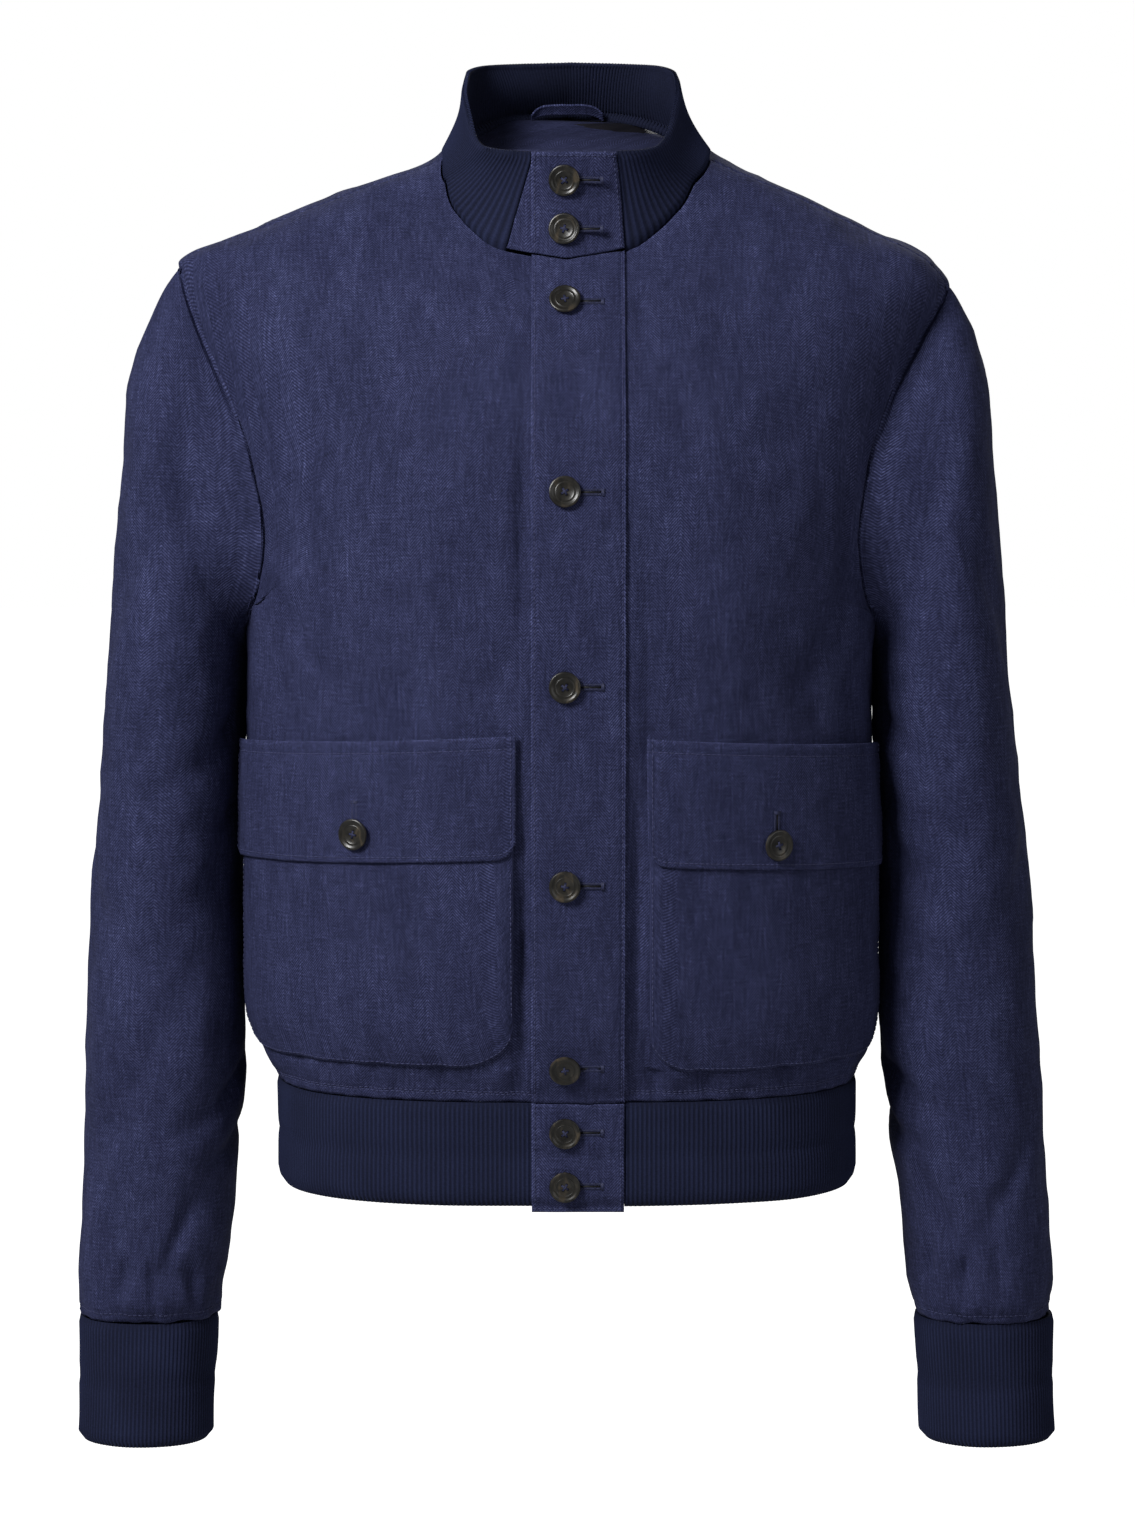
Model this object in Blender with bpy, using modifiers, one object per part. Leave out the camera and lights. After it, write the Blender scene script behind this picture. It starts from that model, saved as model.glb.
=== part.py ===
"""A men's linen blouson jacket, filled out with no wearer.

Metres, +Z up. The front faces -Y and +X is the wearer's left. The origin is midway between the points
where the shoulder seams meet the collar. "Left" and "right" are the wearer's.

The body is one smooth form, read from BODY at an angle and a height. The angle is 0 at the wearer's left
side, 90 degrees at the centre front, 180 at the right side and -90 at the centre back. Each linen piece is
an open surface on that form with a Solidify wall, and a rib-knit piece is a closed wall whose outer
points are raised into ribs over a plain inside.
"""

from bisect import bisect_right
from collections import namedtuple
from functools import lru_cache
from math import cos, degrees, exp, pi, radians, sin, sqrt

import bmesh
import bpy
from mathutils import Vector

LINEN_WALL = 0.0015
RIB_WALL = 0.0026
RIB_RAISE = 0.0006
SEAM = 0.0003  # gap between two pieces that are sewn together
LAYER = LINEN_WALL + SEAM  # height of one layer of linen over another
POCKET_SEAT = 0.0011
POCKET_AIR = 0.0015  # hollow between a pocket and the front
POCKET_WALL = 0.0013
POCKET_WIDTH = 0.175
PLACKET_LIFT = 0.0004  # what keeps the placket clear of the folds under it
PLACKET_DROP = 0.0014  # from the neckline to the placket's top edge
TAB_LIFT = 0.0003
SEAM_ANGLE = 0.002  # half of a side seam's gap round the body
SHOULDER_ANGLE = 0.006  # and what the shoulder seam's half gap adds
SIDE_SEAM_ROWS = 0.48  # share of a panel's rows below the armhole
CENTRE_ROWS = 0.76  # share of a panel's rows below the neckline
UNDERLAP_ROWS = 0.68  # the same for the right front, whose neckline is longer
PANEL_ROWS = 25
BACK_COLUMNS = 9  # in each half
SLEEVE_COLUMNS = 26  # two for each row of a panel's armhole

NECK_FRONT = -0.061
UNDERARM = -0.277
HEM_TOP = -0.539
HEM_BOTTOM = -0.601
TAB_DROP = 0.035  # how far the upper hem tab hangs below the rib, as a share of its height

PLACKET_RIGHT = -0.0205  # free edge of the button placket
PLACKET_LEFT = 0.0325  # its seam
UNDERLAP = 0.0275  # how far the right front runs on under the placket
COLLAR_TAB_LEFT = 0.0275  # the upper collar tab's left end at the collar's top edge
COLLAR_UNDERLAP = 0.0225  # the lower collar tab's
COLLAR_TAB_RIGHT = -0.0350  # the lower collar tab's right end at the neckline
TAB_SLANT = 1.1  # how soon that end comes under the placket's edge

BUTTON_RADIUS = 0.0090
BUTTON_HEIGHT = 0.0030
BUTTON_RIM = 0.0022
BUTTON_DISH = 0.0009
BUTTON_STAND = 0.0006  # thread between a button and the cloth
BUTTON_STEPS = 14

# The body's sections: half widths of the wearer's right and left side, depths before and behind the origin, and
# the exponent of the section's outline, where 2 is an ellipse and more is squarer.
BodyRow = namedtuple("BodyRow", "height right left front back square")
BODY = (
    BodyRow(-0.605, 0.1715, 0.1710, 0.113, 0.112, 3.00),
    BodyRow(-0.539, 0.1720, 0.1710, 0.116, 0.115, 2.90),
    BodyRow(-0.522, 0.1800, 0.1780, 0.123, 0.120, 2.70),
    BodyRow(-0.490, 0.1890, 0.1830, 0.131, 0.126, 2.50),
    BodyRow(-0.400, 0.1905, 0.1820, 0.138, 0.130, 2.35),
    BodyRow(-0.340, 0.1895, 0.1800, 0.139, 0.132, 2.35),
    BodyRow(-0.275, 0.1890, 0.1805, 0.139, 0.134, 2.35),
    BodyRow(-0.235, 0.1900, 0.1830, 0.137, 0.135, 2.35),
    BodyRow(-0.183, 0.1960, 0.1870, 0.130, 0.134, 2.35),
    BodyRow(-0.142, 0.2050, 0.1950, 0.119, 0.131, 2.35),
    BodyRow(-0.107, 0.2170, 0.2090, 0.103, 0.125, 2.35),
    BodyRow(-0.075, 0.2260, 0.2230, 0.083, 0.114, 2.35),
    BodyRow(-0.062, 0.2280, 0.2150, 0.070, 0.107, 2.35),
    BodyRow(-0.040, 0.1800, 0.1740, 0.054, 0.098, 2.35),
    BodyRow(-0.020, 0.1290, 0.1320, 0.043, 0.090, 2.35),
    BodyRow(0.000, 0.0760, 0.0865, 0.036, 0.082, 2.35),
    BodyRow(0.015, 0.0635, 0.0705, 0.033, 0.076, 2.35),
    BodyRow(0.030, 0.0500, 0.0550, 0.030, 0.070, 2.35),
)

# The neck seam on the body: the angle either side of the centre front, and the height there.
NeckRow = namedtuple("NeckRow", "angle height")
NECK = (
    NeckRow(0, -0.061),
    NeckRow(10, -0.054),
    NeckRow(16, -0.044),
    NeckRow(23, -0.032),
    NeckRow(36, -0.015),
    NeckRow(66, -0.001),
    NeckRow(100, 0.006),
    NeckRow(140, 0.023),
    NeckRow(180, 0.029),
)
NECK_POINT = 66  # angle from the centre front where the shoulder seam meets the collar

# The front half of the armhole from the shoulder down, and the back half: angles from the side of the body.
ArmholeRow = namedtuple("ArmholeRow", "drop front back")
ARMHOLE = (
    ArmholeRow(0.00, 12, 12),
    ArmholeRow(0.15, 17, -3),
    ArmholeRow(0.30, 22, -14),
    ArmholeRow(0.50, 27, -23),
    ArmholeRow(0.70, 29, -28),
    ArmholeRow(0.80, 27, -27),
    ArmholeRow(0.88, 23, -23),
    ArmholeRow(0.94, 17, -17),
    ArmholeRow(0.985, 9, -9),
    ArmholeRow(1.00, 0, 0),
)
SHOULDER_POINT = {"right": -0.064, "left": -0.075}

# Soft folds of the body: angle and height of the middle, half length, half width and depth, and the lean from upright.
FoldRow = namedtuple("FoldRow", "angle height run width depth lean")
BODY_FOLDS = (
    FoldRow(120, -0.082, 0.045, 0.012, -0.0018, 88),
    FoldRow(60, -0.080, 0.045, 0.012, -0.0015, 94),
    FoldRow(98, -0.430, 0.110, 0.007, -0.0006, 2),
    FoldRow(77, -0.440, 0.120, 0.007, -0.0012, -2),
    FoldRow(-30, -0.350, 0.070, 0.014, 0.0018, 38),
    FoldRow(-150, -0.350, 0.070, 0.014, 0.0018, -38),
    FoldRow(-60, -0.470, 0.090, 0.022, 0.0026, 12),
    FoldRow(-100, -0.480, 0.080, 0.024, 0.0022, -6),
    FoldRow(-130, -0.460, 0.090, 0.020, 0.0026, -14),
    FoldRow(-90, -0.060, 0.090, 0.016, -0.0018, 90),
)


@lru_cache(maxsize=None)
def smooth_table(rows, key, column):
    """Places, values and slopes of a table's column, with slopes that keep its curve from overshooting."""
    rows = sorted(rows, key=lambda row: getattr(row, key))
    places = [getattr(row, key) for row in rows]
    values = [getattr(row, column) for row in rows]
    steps = [(values[j + 1] - values[j]) / (places[j + 1] - places[j]) for j in range(len(rows) - 1)]
    slopes = [steps[0]]
    for before, after in zip(steps, steps[1:]):
        slopes.append(2 * before * after / (before + after) if before * after > 0 else 0)
    slopes.append(steps[-1])
    return places, values, slopes


def table_value(rows, key, column, at):
    """A column of a table at a place between its rows."""
    places, values, slopes = smooth_table(rows, key, column)
    at = min(max(at, places[0]), places[-1])
    i = min(bisect_right(places, at), len(places) - 1) - 1
    span = places[i + 1] - places[i]
    t = (at - places[i]) / span
    return (
        values[i] * (1 + 2 * t) * (1 - t) ** 2
        + values[i + 1] * t * t * (3 - 2 * t)
        + span * t * (1 - t) * (slopes[i] * (1 - t) - slopes[i + 1] * t)
    )


def turn_between(a, b):
    """The smallest turn from angle b to angle a."""
    return (a - b + pi) % (2 * pi) - pi


def fold_height(folds, angle, height, radius):
    total = 0
    for fold in folds:
        side = turn_between(angle, radians(fold.angle)) * radius
        up = height - fold.height
        lean = radians(fold.lean)
        across = side * cos(lean) - up * sin(lean)
        along = side * sin(lean) + up * cos(lean)
        total += fold.depth * exp(-((across / fold.width) ** 2) - (along / fold.run) ** 2)
    return total


def plain_body(angle, height):
    """A point of the body's form, before its folds."""
    side = "left" if cos(angle) > 0 else "right"
    face = "front" if sin(angle) > 0 else "back"
    n = table_value(BODY, "height", "square", height)
    reach = (abs(cos(angle)) ** n + abs(sin(angle)) ** n) ** (-1 / n)
    x = table_value(BODY, "height", side, height) * cos(angle) * reach
    y = -table_value(BODY, "height", face, height) * sin(angle) * reach
    return Vector((x, y, height))


def outward(place, angle, height):
    """The direction out of a surface that place(angle, height) gives."""
    step = 1e-3
    around = place(angle + step, height) - place(angle - step, height)
    up = place(angle, height + step) - place(angle, height - step)
    return up.cross(around).normalized()


def body(angle, height, out=0.0):
    """A point of the body's outer face, or one moved out from it."""
    point = plain_body(angle, height)
    fold = fold_height(BODY_FOLDS, angle, height, 0.15)
    return point + outward(plain_body, angle, height) * (fold + out)


def neck_height(angle):
    off_front = degrees(abs(turn_between(angle, pi / 2)))
    return table_value(NECK, "angle", "height", off_front)


def body_at_x(x, height, out=0.0):
    """A point of the body's front at a distance from the centre line."""
    low, high = 0.0, pi
    for _ in range(30):
        middle = (low + high) / 2
        if plain_body(middle, height).x > x:
            low = middle
        else:
            high = middle
    return body(low, height, out)


def angle_at_x(x, height):
    low, high = 0.0, pi
    for _ in range(30):
        middle = (low + high) / 2
        if plain_body(middle, height).x > x:
            low = middle
        else:
            high = middle
    return low


def armhole(side, face, drop):
    """Angle and height of the armhole, for a drop from 0 at the shoulder to 1 at the underarm."""
    off = radians(table_value(ARMHOLE, "drop", face, drop))
    top = SHOULDER_POINT[side]
    height = top + (UNDERARM - top) * drop
    if side == "left":
        return off, height
    return pi - off, height


def edge_of_panel(side, face, up):
    """The side seam and armhole of a front or back, for up from 0 at the hem to 1 at the shoulder point."""
    if up < SIDE_SEAM_ROWS:
        height = HEM_TOP + SEAM + (UNDERARM - HEM_TOP - SEAM) * up / SIDE_SEAM_ROWS
        angle = 0 if side == "left" else pi
    else:
        around = (up - SIDE_SEAM_ROWS) / (1 - SIDE_SEAM_ROWS)
        angle, height = armhole(side, face, (1 + cos(pi * around)) / 2)
    if side == "right" and face == "back":
        angle -= 2 * pi
    inwards = 1 if (side == "left") == (face == "front") else -1
    return angle + inwards * (SEAM_ANGLE + SHOULDER_ANGLE * up ** 12), height


def centre_edge(side, face, up, start, centre_rows=CENTRE_ROWS):
    """The edge by the placket or centre back and then the neckline, for up from 0 to 1."""
    point_angle = radians(90 - NECK_POINT) if side == "left" else radians(90 + NECK_POINT)
    centre = pi / 2 if face == "front" else -pi / 2
    if side == "right" and face == "back":
        point_angle -= 2 * pi
    inwards = 1 if (side == "left") == (face == "front") else -1
    point_angle += inwards * (SEAM_ANGLE + SHOULDER_ANGLE)
    top_start = angle_at_x(start, NECK_FRONT) if face == "front" else centre
    if up < centre_rows:
        top = neck_height(top_start) - SEAM
        height = HEM_TOP + SEAM + (top - HEM_TOP - SEAM) * up / centre_rows
        angle = angle_at_x(start, height) if face == "front" else centre
        return angle, height
    share = (up - centre_rows) / (1 - centre_rows)
    angle = top_start + (point_angle - top_start) * share
    return angle, neck_height(angle) - SEAM


def link(name, mesh, material, parts):
    node = bpy.data.objects.new(name, mesh)
    node.data.materials.append(material)
    parts.objects.link(node)
    mesh.shade_smooth()
    mesh.set_sharp_from_angle(angle=radians(50))
    return node


def surface(bm, rows, columns, place, wrapped=False):
    """Adds a grid of quads whose points are place(across, up), with both from 0 to 1."""
    grid = []
    for i in range(rows + 1):
        count = columns if wrapped else columns + 1
        grid.append([bm.verts.new(place(j / columns, i / rows)) for j in range(count)])
    for lower, upper in zip(grid, grid[1:]):
        for j in range(columns):
            k = (j + 1) % len(lower)
            bm.faces.new((lower[j], lower[k], upper[k], upper[j]))
    return grid


def cloth(name, grids, material, parts, thickness=LINEN_WALL):
    """A wall of linen inside the surface of one or more grids of (rows, columns, place, wrapped)."""
    bm = bmesh.new()
    for rows, columns, place, wrapped in grids:
        surface(bm, rows, columns, place, wrapped)
    bmesh.ops.remove_doubles(bm, verts=bm.verts, dist=1e-6)
    mesh = bpy.data.meshes.new(name)
    bm.to_mesh(mesh)
    bm.free()
    node = link(name, mesh, material, parts)
    wall = node.modifiers.new("Wall", "SOLIDIFY")
    wall.thickness = thickness
    wall.offset = -1
    return node


def rim(bm, outer, inner, closed, flip):
    """Closes a wall between an outer row of points and a plainer inner one."""
    share = (len(outer) if closed else len(outer) - 1) // (len(inner) if closed else len(inner) - 1)
    spans = len(inner) if closed else len(inner) - 1
    for j in range(spans):
        far = [outer[(j * share + k) % len(outer)] for k in range(share + 1)]
        near = [inner[j], inner[(j + 1) % len(inner)]]
        loop = near + far[::-1]
        bm.faces.new(loop if flip else loop[::-1])


def ribbed(name, rows, columns, share, outer, inner, material, parts, closed):
    """A closed wall of rib knit: ribs in its outer points, over an inside with fewer columns."""
    bm = bmesh.new()
    out_grid = surface(bm, rows, columns, outer, closed)
    in_grid = surface(bm, rows, columns // share, inner, closed)
    inner_points = {vert for row in in_grid for vert in row}
    inner_faces = [face for face in bm.faces if face.verts[0] in inner_points]
    bmesh.ops.reverse_faces(bm, faces=inner_faces)
    rim(bm, out_grid[0], in_grid[0], closed, True)
    rim(bm, out_grid[-1], in_grid[-1], closed, False)
    if not closed:
        rim(bm, [row[0] for row in out_grid], [row[0] for row in in_grid], False, False)
        rim(bm, [row[-1] for row in out_grid], [row[-1] for row in in_grid], False, True)
    mesh = bpy.data.meshes.new(name)
    bm.to_mesh(mesh)
    bm.free()
    return link(name, mesh, material, parts)


def rib(across, columns):
    """How far an outer point is raised: every second column of points is the top of a rib."""
    return RIB_RAISE if round(across * columns) % 2 else 0.0


# The collar's top edge: angle either side of the centre front, and the place there.
CollarRow = namedtuple("CollarRow", "angle side depth height")
COLLAR = (
    CollarRow(0, 0.000, -0.070, 0.001),
    CollarRow(20, 0.030, -0.069, 0.001),
    CollarRow(34, 0.047, -0.062, 0.003),
    CollarRow(46, 0.055, -0.049, 0.010),
    CollarRow(60, 0.060, -0.030, 0.024),
    CollarRow(80, 0.063, -0.008, 0.040),
    CollarRow(105, 0.062, 0.018, 0.050),
    CollarRow(130, 0.053, 0.042, 0.055),
    CollarRow(155, 0.030, 0.053, 0.057),
    CollarRow(180, 0.000, 0.055, 0.058),
)
COLLAR_LIFT = 0.0017  # from the neckline's faceted edge to the collar
COLLAR_BOW = 0.0030
COLLAR_SHIFT = 0.0020  # the collar leans towards the wearer's left

# The sleeve: height of a section, its outer and inner edge on each side, its half depth and its place front to back.
SleeveRow = namedtuple("SleeveRow", "height right_outer right_inner left_outer left_inner depth back")
SLEEVE = (
    SleeveRow(-0.686, 0.2905, 0.2090, 0.2875, 0.2085, 0.034, -0.008),
    SleeveRow(-0.672, 0.2915, 0.2065, 0.2895, 0.2055, 0.041, -0.008),
    SleeveRow(-0.620, 0.2895, 0.2000, 0.2860, 0.1990, 0.047, -0.008),
    SleeveRow(-0.560, 0.2870, 0.1935, 0.2825, 0.1910, 0.054, -0.008),
    SleeveRow(-0.510, 0.2855, 0.1920, 0.2795, 0.1855, 0.060, -0.006),
    SleeveRow(-0.450, 0.2830, 0.1925, 0.2755, 0.1850, 0.065, -0.002),
    SleeveRow(-0.390, 0.2790, 0.1925, 0.2700, 0.1845, 0.070, 0.000),
    SleeveRow(-0.330, 0.2745, 0.1920, 0.2640, 0.1830, 0.074, 0.002),
    SleeveRow(-0.300, 0.2725, 0.1915, 0.2615, 0.1825, 0.074, 0.003),
)
SLEEVE_FOOT = -0.6857

# The sleeve's head: how far its ring has turned down from the armhole, and the outline that its outer edge follows.
HeadRow = namedtuple("HeadRow", "turn right left height depth")
HEAD = (
    HeadRow(0.00, 0.2290, 0.2240, -0.064, 0.060),
    HeadRow(0.12, 0.2410, 0.2350, -0.080, 0.062),
    HeadRow(0.25, 0.2495, 0.2420, -0.100, 0.065),
    HeadRow(0.40, 0.2565, 0.2465, -0.130, 0.068),
    HeadRow(0.60, 0.2615, 0.2500, -0.180, 0.071),
    HeadRow(0.80, 0.2670, 0.2560, -0.240, 0.073),
    HeadRow(1.00, 0.2725, 0.2615, -0.300, 0.074),
)
HEAD_ROWS = 0.40  # share of a sleeve's rows in its head
PIVOT = -0.300
SLEEVE_FOLDS = (
    FoldRow(80, -0.470, 0.030, 0.016, -0.0025, 75),
    FoldRow(150, -0.430, 0.035, 0.016, -0.0025, 60),
    FoldRow(60, -0.560, 0.030, 0.018, -0.0020, 80),
    FoldRow(130, -0.610, 0.030, 0.016, -0.0022, 70),
    FoldRow(240, -0.480, 0.035, 0.018, -0.0028, 105),
    FoldRow(290, -0.400, 0.035, 0.018, -0.0022, 95),
    FoldRow(250, -0.600, 0.030, 0.018, -0.0022, 100),
    FoldRow(110, -0.655, 0.050, 0.007, -0.0014, 90),
    FoldRow(290, -0.655, 0.050, 0.007, -0.0014, 90),
)

CuffRow = namedtuple("CuffRow", "height right left width depth")
CUFF = (
    CuffRow(-0.7615, 0.2534, 0.2520, 0.0375, 0.0310),
    CuffRow(-0.7565, 0.2532, 0.2518, 0.0402, 0.0330),
    CuffRow(-0.7230, 0.2520, 0.2505, 0.0402, 0.0335),
    CuffRow(-0.6860, 0.2508, 0.2492, 0.0412, 0.0340),
)
CUFF_BACK = -0.008

# Patch pockets: x of the edge by the placket, angle of the side edge, heights, and the bottom corners' radius.
PocketRow = namedtuple("PocketRow", "side centre_x side_angle top side_top flap side_flap bottom corner button_x button")
POCKETS = (
    PocketRow("right", -0.0300, 167, -0.329, -0.341, -0.396, -0.406, -0.517, 0.027, -0.1180, -0.3835),
    PocketRow("left", 0.0455, 13, -0.331, -0.343, -0.400, -0.412, -0.520, 0.024, 0.1160, -0.3900),
)

BUTTONS_X = -0.0015
COLLAR_BUTTONS = (0.74, 0.27)  # shares of the collar's height
PLACKET_BUTTONS = (-0.0845, -0.190, -0.2985, -0.411, -0.517)
HEM_BUTTONS = (-0.556, -0.5876)


def mix(a, b, share):
    return a + (b - a) * share


def collar(angle, share, out=0.0):
    """A point of the collar's outer face, for a share from 0 at the neck seam to 1 at the top edge."""
    def place(turn, up):
        off = degrees(abs(turn_between(turn, pi / 2)))
        side = 1 if turn_between(turn, pi / 2) < 0 else -1
        foot = plain_body(turn, neck_height(turn)) + Vector((0, 0, COLLAR_LIFT))
        x = side * table_value(COLLAR, "angle", "side", off) + COLLAR_SHIFT * min(off / 60, 1)
        y = table_value(COLLAR, "angle", "depth", off)
        z = table_value(COLLAR, "angle", "height", off)
        point = foot.lerp(Vector((x, y, z)), up)
        bow = COLLAR_BOW * sin(pi * min(max(up, 0), 1))
        flat = Vector((point.x, point.y, 0)).normalized()
        return point - flat * bow

    return place(angle, share) + outward(place, angle, share) * out


def collar_angle(x, share):
    """The angle at which the collar's front passes a distance from the centre line."""
    low, high = 0.3, pi - 0.3
    for _ in range(30):
        middle = (low + high) / 2
        if collar(middle, share).x > x:
            low = middle
        else:
            high = middle
    return low


def hem(angle, share, out=0.0):
    """A point of the waistband's outer face, for a share from 0 at its lower edge to 1 at its seam."""
    height = mix(HEM_BOTTOM, HEM_TOP - SEAM, share)
    tuck = -0.0030 * exp(-((share / 0.07) ** 2)) - 0.0009 * exp(-(((share - 0.5) / 0.06) ** 2))
    return plain_body(angle, height) + outward(plain_body, angle, height) * (tuck + out)


def ring_point(centre, along, half_long, half_deep, turn):
    """A point of a sleeve's section: turn 0 is its outer edge, a quarter turn its front."""
    n = 2.15
    reach = (abs(cos(turn)) ** n + abs(sin(turn)) ** n) ** (-1 / n)
    return centre + along * (half_long * cos(turn) * reach) + Vector((0, -half_deep * sin(turn) * reach, 0))


def clear_of_body(point, gap):
    """The point, moved sideways where it would come nearer than the gap to the body's side."""
    side = "left" if point.x > 0 else "right"
    face = "front" if point.y < 0 else "back"
    depth = table_value(BODY, "height", face, point.z)
    n = table_value(BODY, "height", "square", point.z)
    inside = max(1 - abs(point.y / depth) ** n, 0)
    least = table_value(BODY, "height", side, point.z) * inside ** (1 / n) + gap
    if abs(point.x) >= least or point.z > SHOULDER_POINT[side] - 0.06:
        return point
    return Vector((least if point.x > 0 else -least, point.y, point.z))


def armhole_point(side, turn):
    drop = (1 - cos(turn)) / 2
    face = "front" if sin(turn) > 0 else "back"
    return armhole(side, face, drop)


def sleeve_head(side, turn, down):
    """The sleeve from the armhole, at down 0, to its first level section, at down 1."""
    sign = 1 if side == "left" else -1
    outer = Vector((sign * table_value(HEAD, "turn", side, down), 0, table_value(HEAD, "turn", "height", down)))
    inner_x = mix(plain_body(0, UNDERARM).x if side == "left" else plain_body(pi, UNDERARM).x,
                  sign * table_value(SLEEVE, "height", side + "_inner", PIVOT), down)
    inner = Vector((inner_x, 0, mix(UNDERARM - 0.002, PIVOT, down)))
    centre = (outer + inner) / 2 + Vector((0, 0.003 * down, 0))
    half = (outer - inner) / 2
    oval = ring_point(centre, half.normalized(), half.length, table_value(HEAD, "turn", "depth", down), turn)
    angle, height = armhole_point(side, turn)
    edge = body(angle, height)
    before = body(*armhole_point(side, turn - 0.02))
    after = body(*armhole_point(side, turn + 0.02))
    normal = outward(plain_body, angle, height)
    onward = (after - before).cross(normal).normalized()
    if onward.dot(centre - edge) < 0:
        onward = -onward
    share = min(down / 0.45, 1)
    share = share * share * (3 - 2 * share)
    blended = edge.lerp(oval, share)
    top = max(cos(turn), 0) ** 0.5
    leave = (onward * top + normal * (1 - top)).normalized()
    stand_off = 0.0012 if sin(turn) > 0 else 0.0024
    near = edge + leave * (SEAM + stand_off * (1 - top) + 0.06 * down)
    close = max(1 - down / 0.10, 0)
    if down == 0:
        return near
    return clear_of_body(blended.lerp(near, close), 0.0026 + 0.03 * min(down, 0.05))


def sleeve(side, turn, height):
    """The sleeve below its head, with its folds."""
    sign = 1 if side == "left" else -1

    def place(around, at):
        outer = table_value(SLEEVE, "height", side + "_outer", at)
        inner = table_value(SLEEVE, "height", side + "_inner", at)
        centre = Vector((sign * (outer + inner) / 2, table_value(SLEEVE, "height", "back", at), at))
        depth = table_value(SLEEVE, "height", "depth", at)
        return ring_point(centre, Vector((sign, 0, 0)), (outer - inner) / 2, depth, around)

    fold = fold_height(SLEEVE_FOLDS, turn, height, 0.055)
    out = (place(turn, height) - place(turn + pi, height)).normalized()
    return clear_of_body(place(turn, height) + out * fold, 0.0020)


def cuff(side, turn, height, out=0.0):
    sign = 1 if side == "left" else -1
    centre = Vector((sign * table_value(CUFF, "height", side, height), CUFF_BACK, height))
    width = table_value(CUFF, "height", "width", height) + out
    depth = table_value(CUFF, "height", "depth", height) + out
    return ring_point(centre, Vector((sign, 0, 0)), width, depth, turn)


def pocket_place(row, across, up, top, side_top, bottom, side_bottom, corner, layers):
    """A point of what lies on a front: across 0 is the placket's side and 1 the side seam's."""
    near = angle_at_x(row.centre_x, row.top)
    far = radians(row.side_angle)
    angle = mix(near, far, across)
    inset = min(across, 1 - across) * POCKET_WIDTH
    round_off = corner - sqrt(max(corner ** 2 - max(corner - inset, 0) ** 2, 0))
    low = mix(bottom, side_bottom, across) + round_off
    height = mix(low, mix(top, side_top, across), up)
    height = max(height, low)
    share_up = min(max((height - row.bottom) / (row.top - row.bottom), 0), 1)
    full = (1 - (2 * across - 1) ** 6) * (1 - (2 * share_up - 1) ** 6)
    return body(angle, height, POCKET_SEAT + LINEN_WALL + POCKET_AIR * full + layers * (LAYER + TAB_LIFT))


def material(name, colour, roughness):
    made = bpy.data.materials.new(name)
    made.use_nodes = True
    shader = made.node_tree.nodes["Principled BSDF"]
    shader.inputs["Base Color"].default_value = (*colour, 1)
    shader.inputs["Roughness"].default_value = roughness
    return made


def make_fronts(linen, parts):
    def left(across, up):
        near = centre_edge("left", "front", up, PLACKET_LEFT + SEAM)
        far = edge_of_panel("left", "front", up)
        return body(mix(near[0], far[0], across), mix(near[1], far[1], across))

    def right(across, up):
        near = centre_edge("right", "front", up, UNDERLAP, UNDERLAP_ROWS)
        far = edge_of_panel("right", "front", up)
        return body(mix(far[0], near[0], across), mix(far[1], near[1], across))

    cloth("left_front", [(PANEL_ROWS, 9, left, False)], linen, parts)
    cloth("right_front", [(PANEL_ROWS, 11, right, False)], linen, parts)


def back_point(side, across, up, out=0.0):
    """A point of the back, for across from 0 to 1 on one half, always from the wearer's left to right."""
    near = centre_edge(side, "back", up, 0)
    far = edge_of_panel(side, "back", up)
    start, end = (far, near) if side == "left" else (near, far)
    return body(mix(start[0], end[0], across), mix(start[1], end[1], across), out)


def make_back(linen, parts):
    def left(across, up):
        return back_point("left", across, up)

    def right(across, up):
        return back_point("right", across, up)

    grids = [(PANEL_ROWS, BACK_COLUMNS, left, False), (PANEL_ROWS, BACK_COLUMNS, right, False)]
    cloth("back", grids, linen, parts)


def make_placket(linen, parts):
    def place(across, up):
        x = mix(PLACKET_RIGHT, PLACKET_LEFT, across)
        angle = angle_at_x(x, NECK_FRONT)
        height = mix(HEM_TOP + SEAM, neck_height(angle) - PLACKET_DROP, up)
        return body_at_x(x, height, LAYER + PLACKET_LIFT)

    cloth("button_placket", [(26, 4, place, False)], linen, parts)


def make_sleeves(linen, parts):
    for side in ("left", "right"):
        sign = -1 if side == "left" else 1

        def place(across, up):
            turn = sign * 2 * pi * across
            if up <= 1 - HEAD_ROWS:
                return sleeve(side, turn, mix(SLEEVE_FOOT, PIVOT, up / (1 - HEAD_ROWS)))
            down = (1 - up) / HEAD_ROWS
            return sleeve_head(side, turn, max(down, 0) ** 1.5)

        cloth(side + "_sleeve", [(20, SLEEVE_COLUMNS, place, True)], linen, parts)


def under_tab_end(up):
    """Where the lower collar tab meets the rib, by its distance from the centre line."""
    return mix(COLLAR_TAB_RIGHT, PLACKET_RIGHT, min(up * TAB_SLANT, 1))


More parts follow.
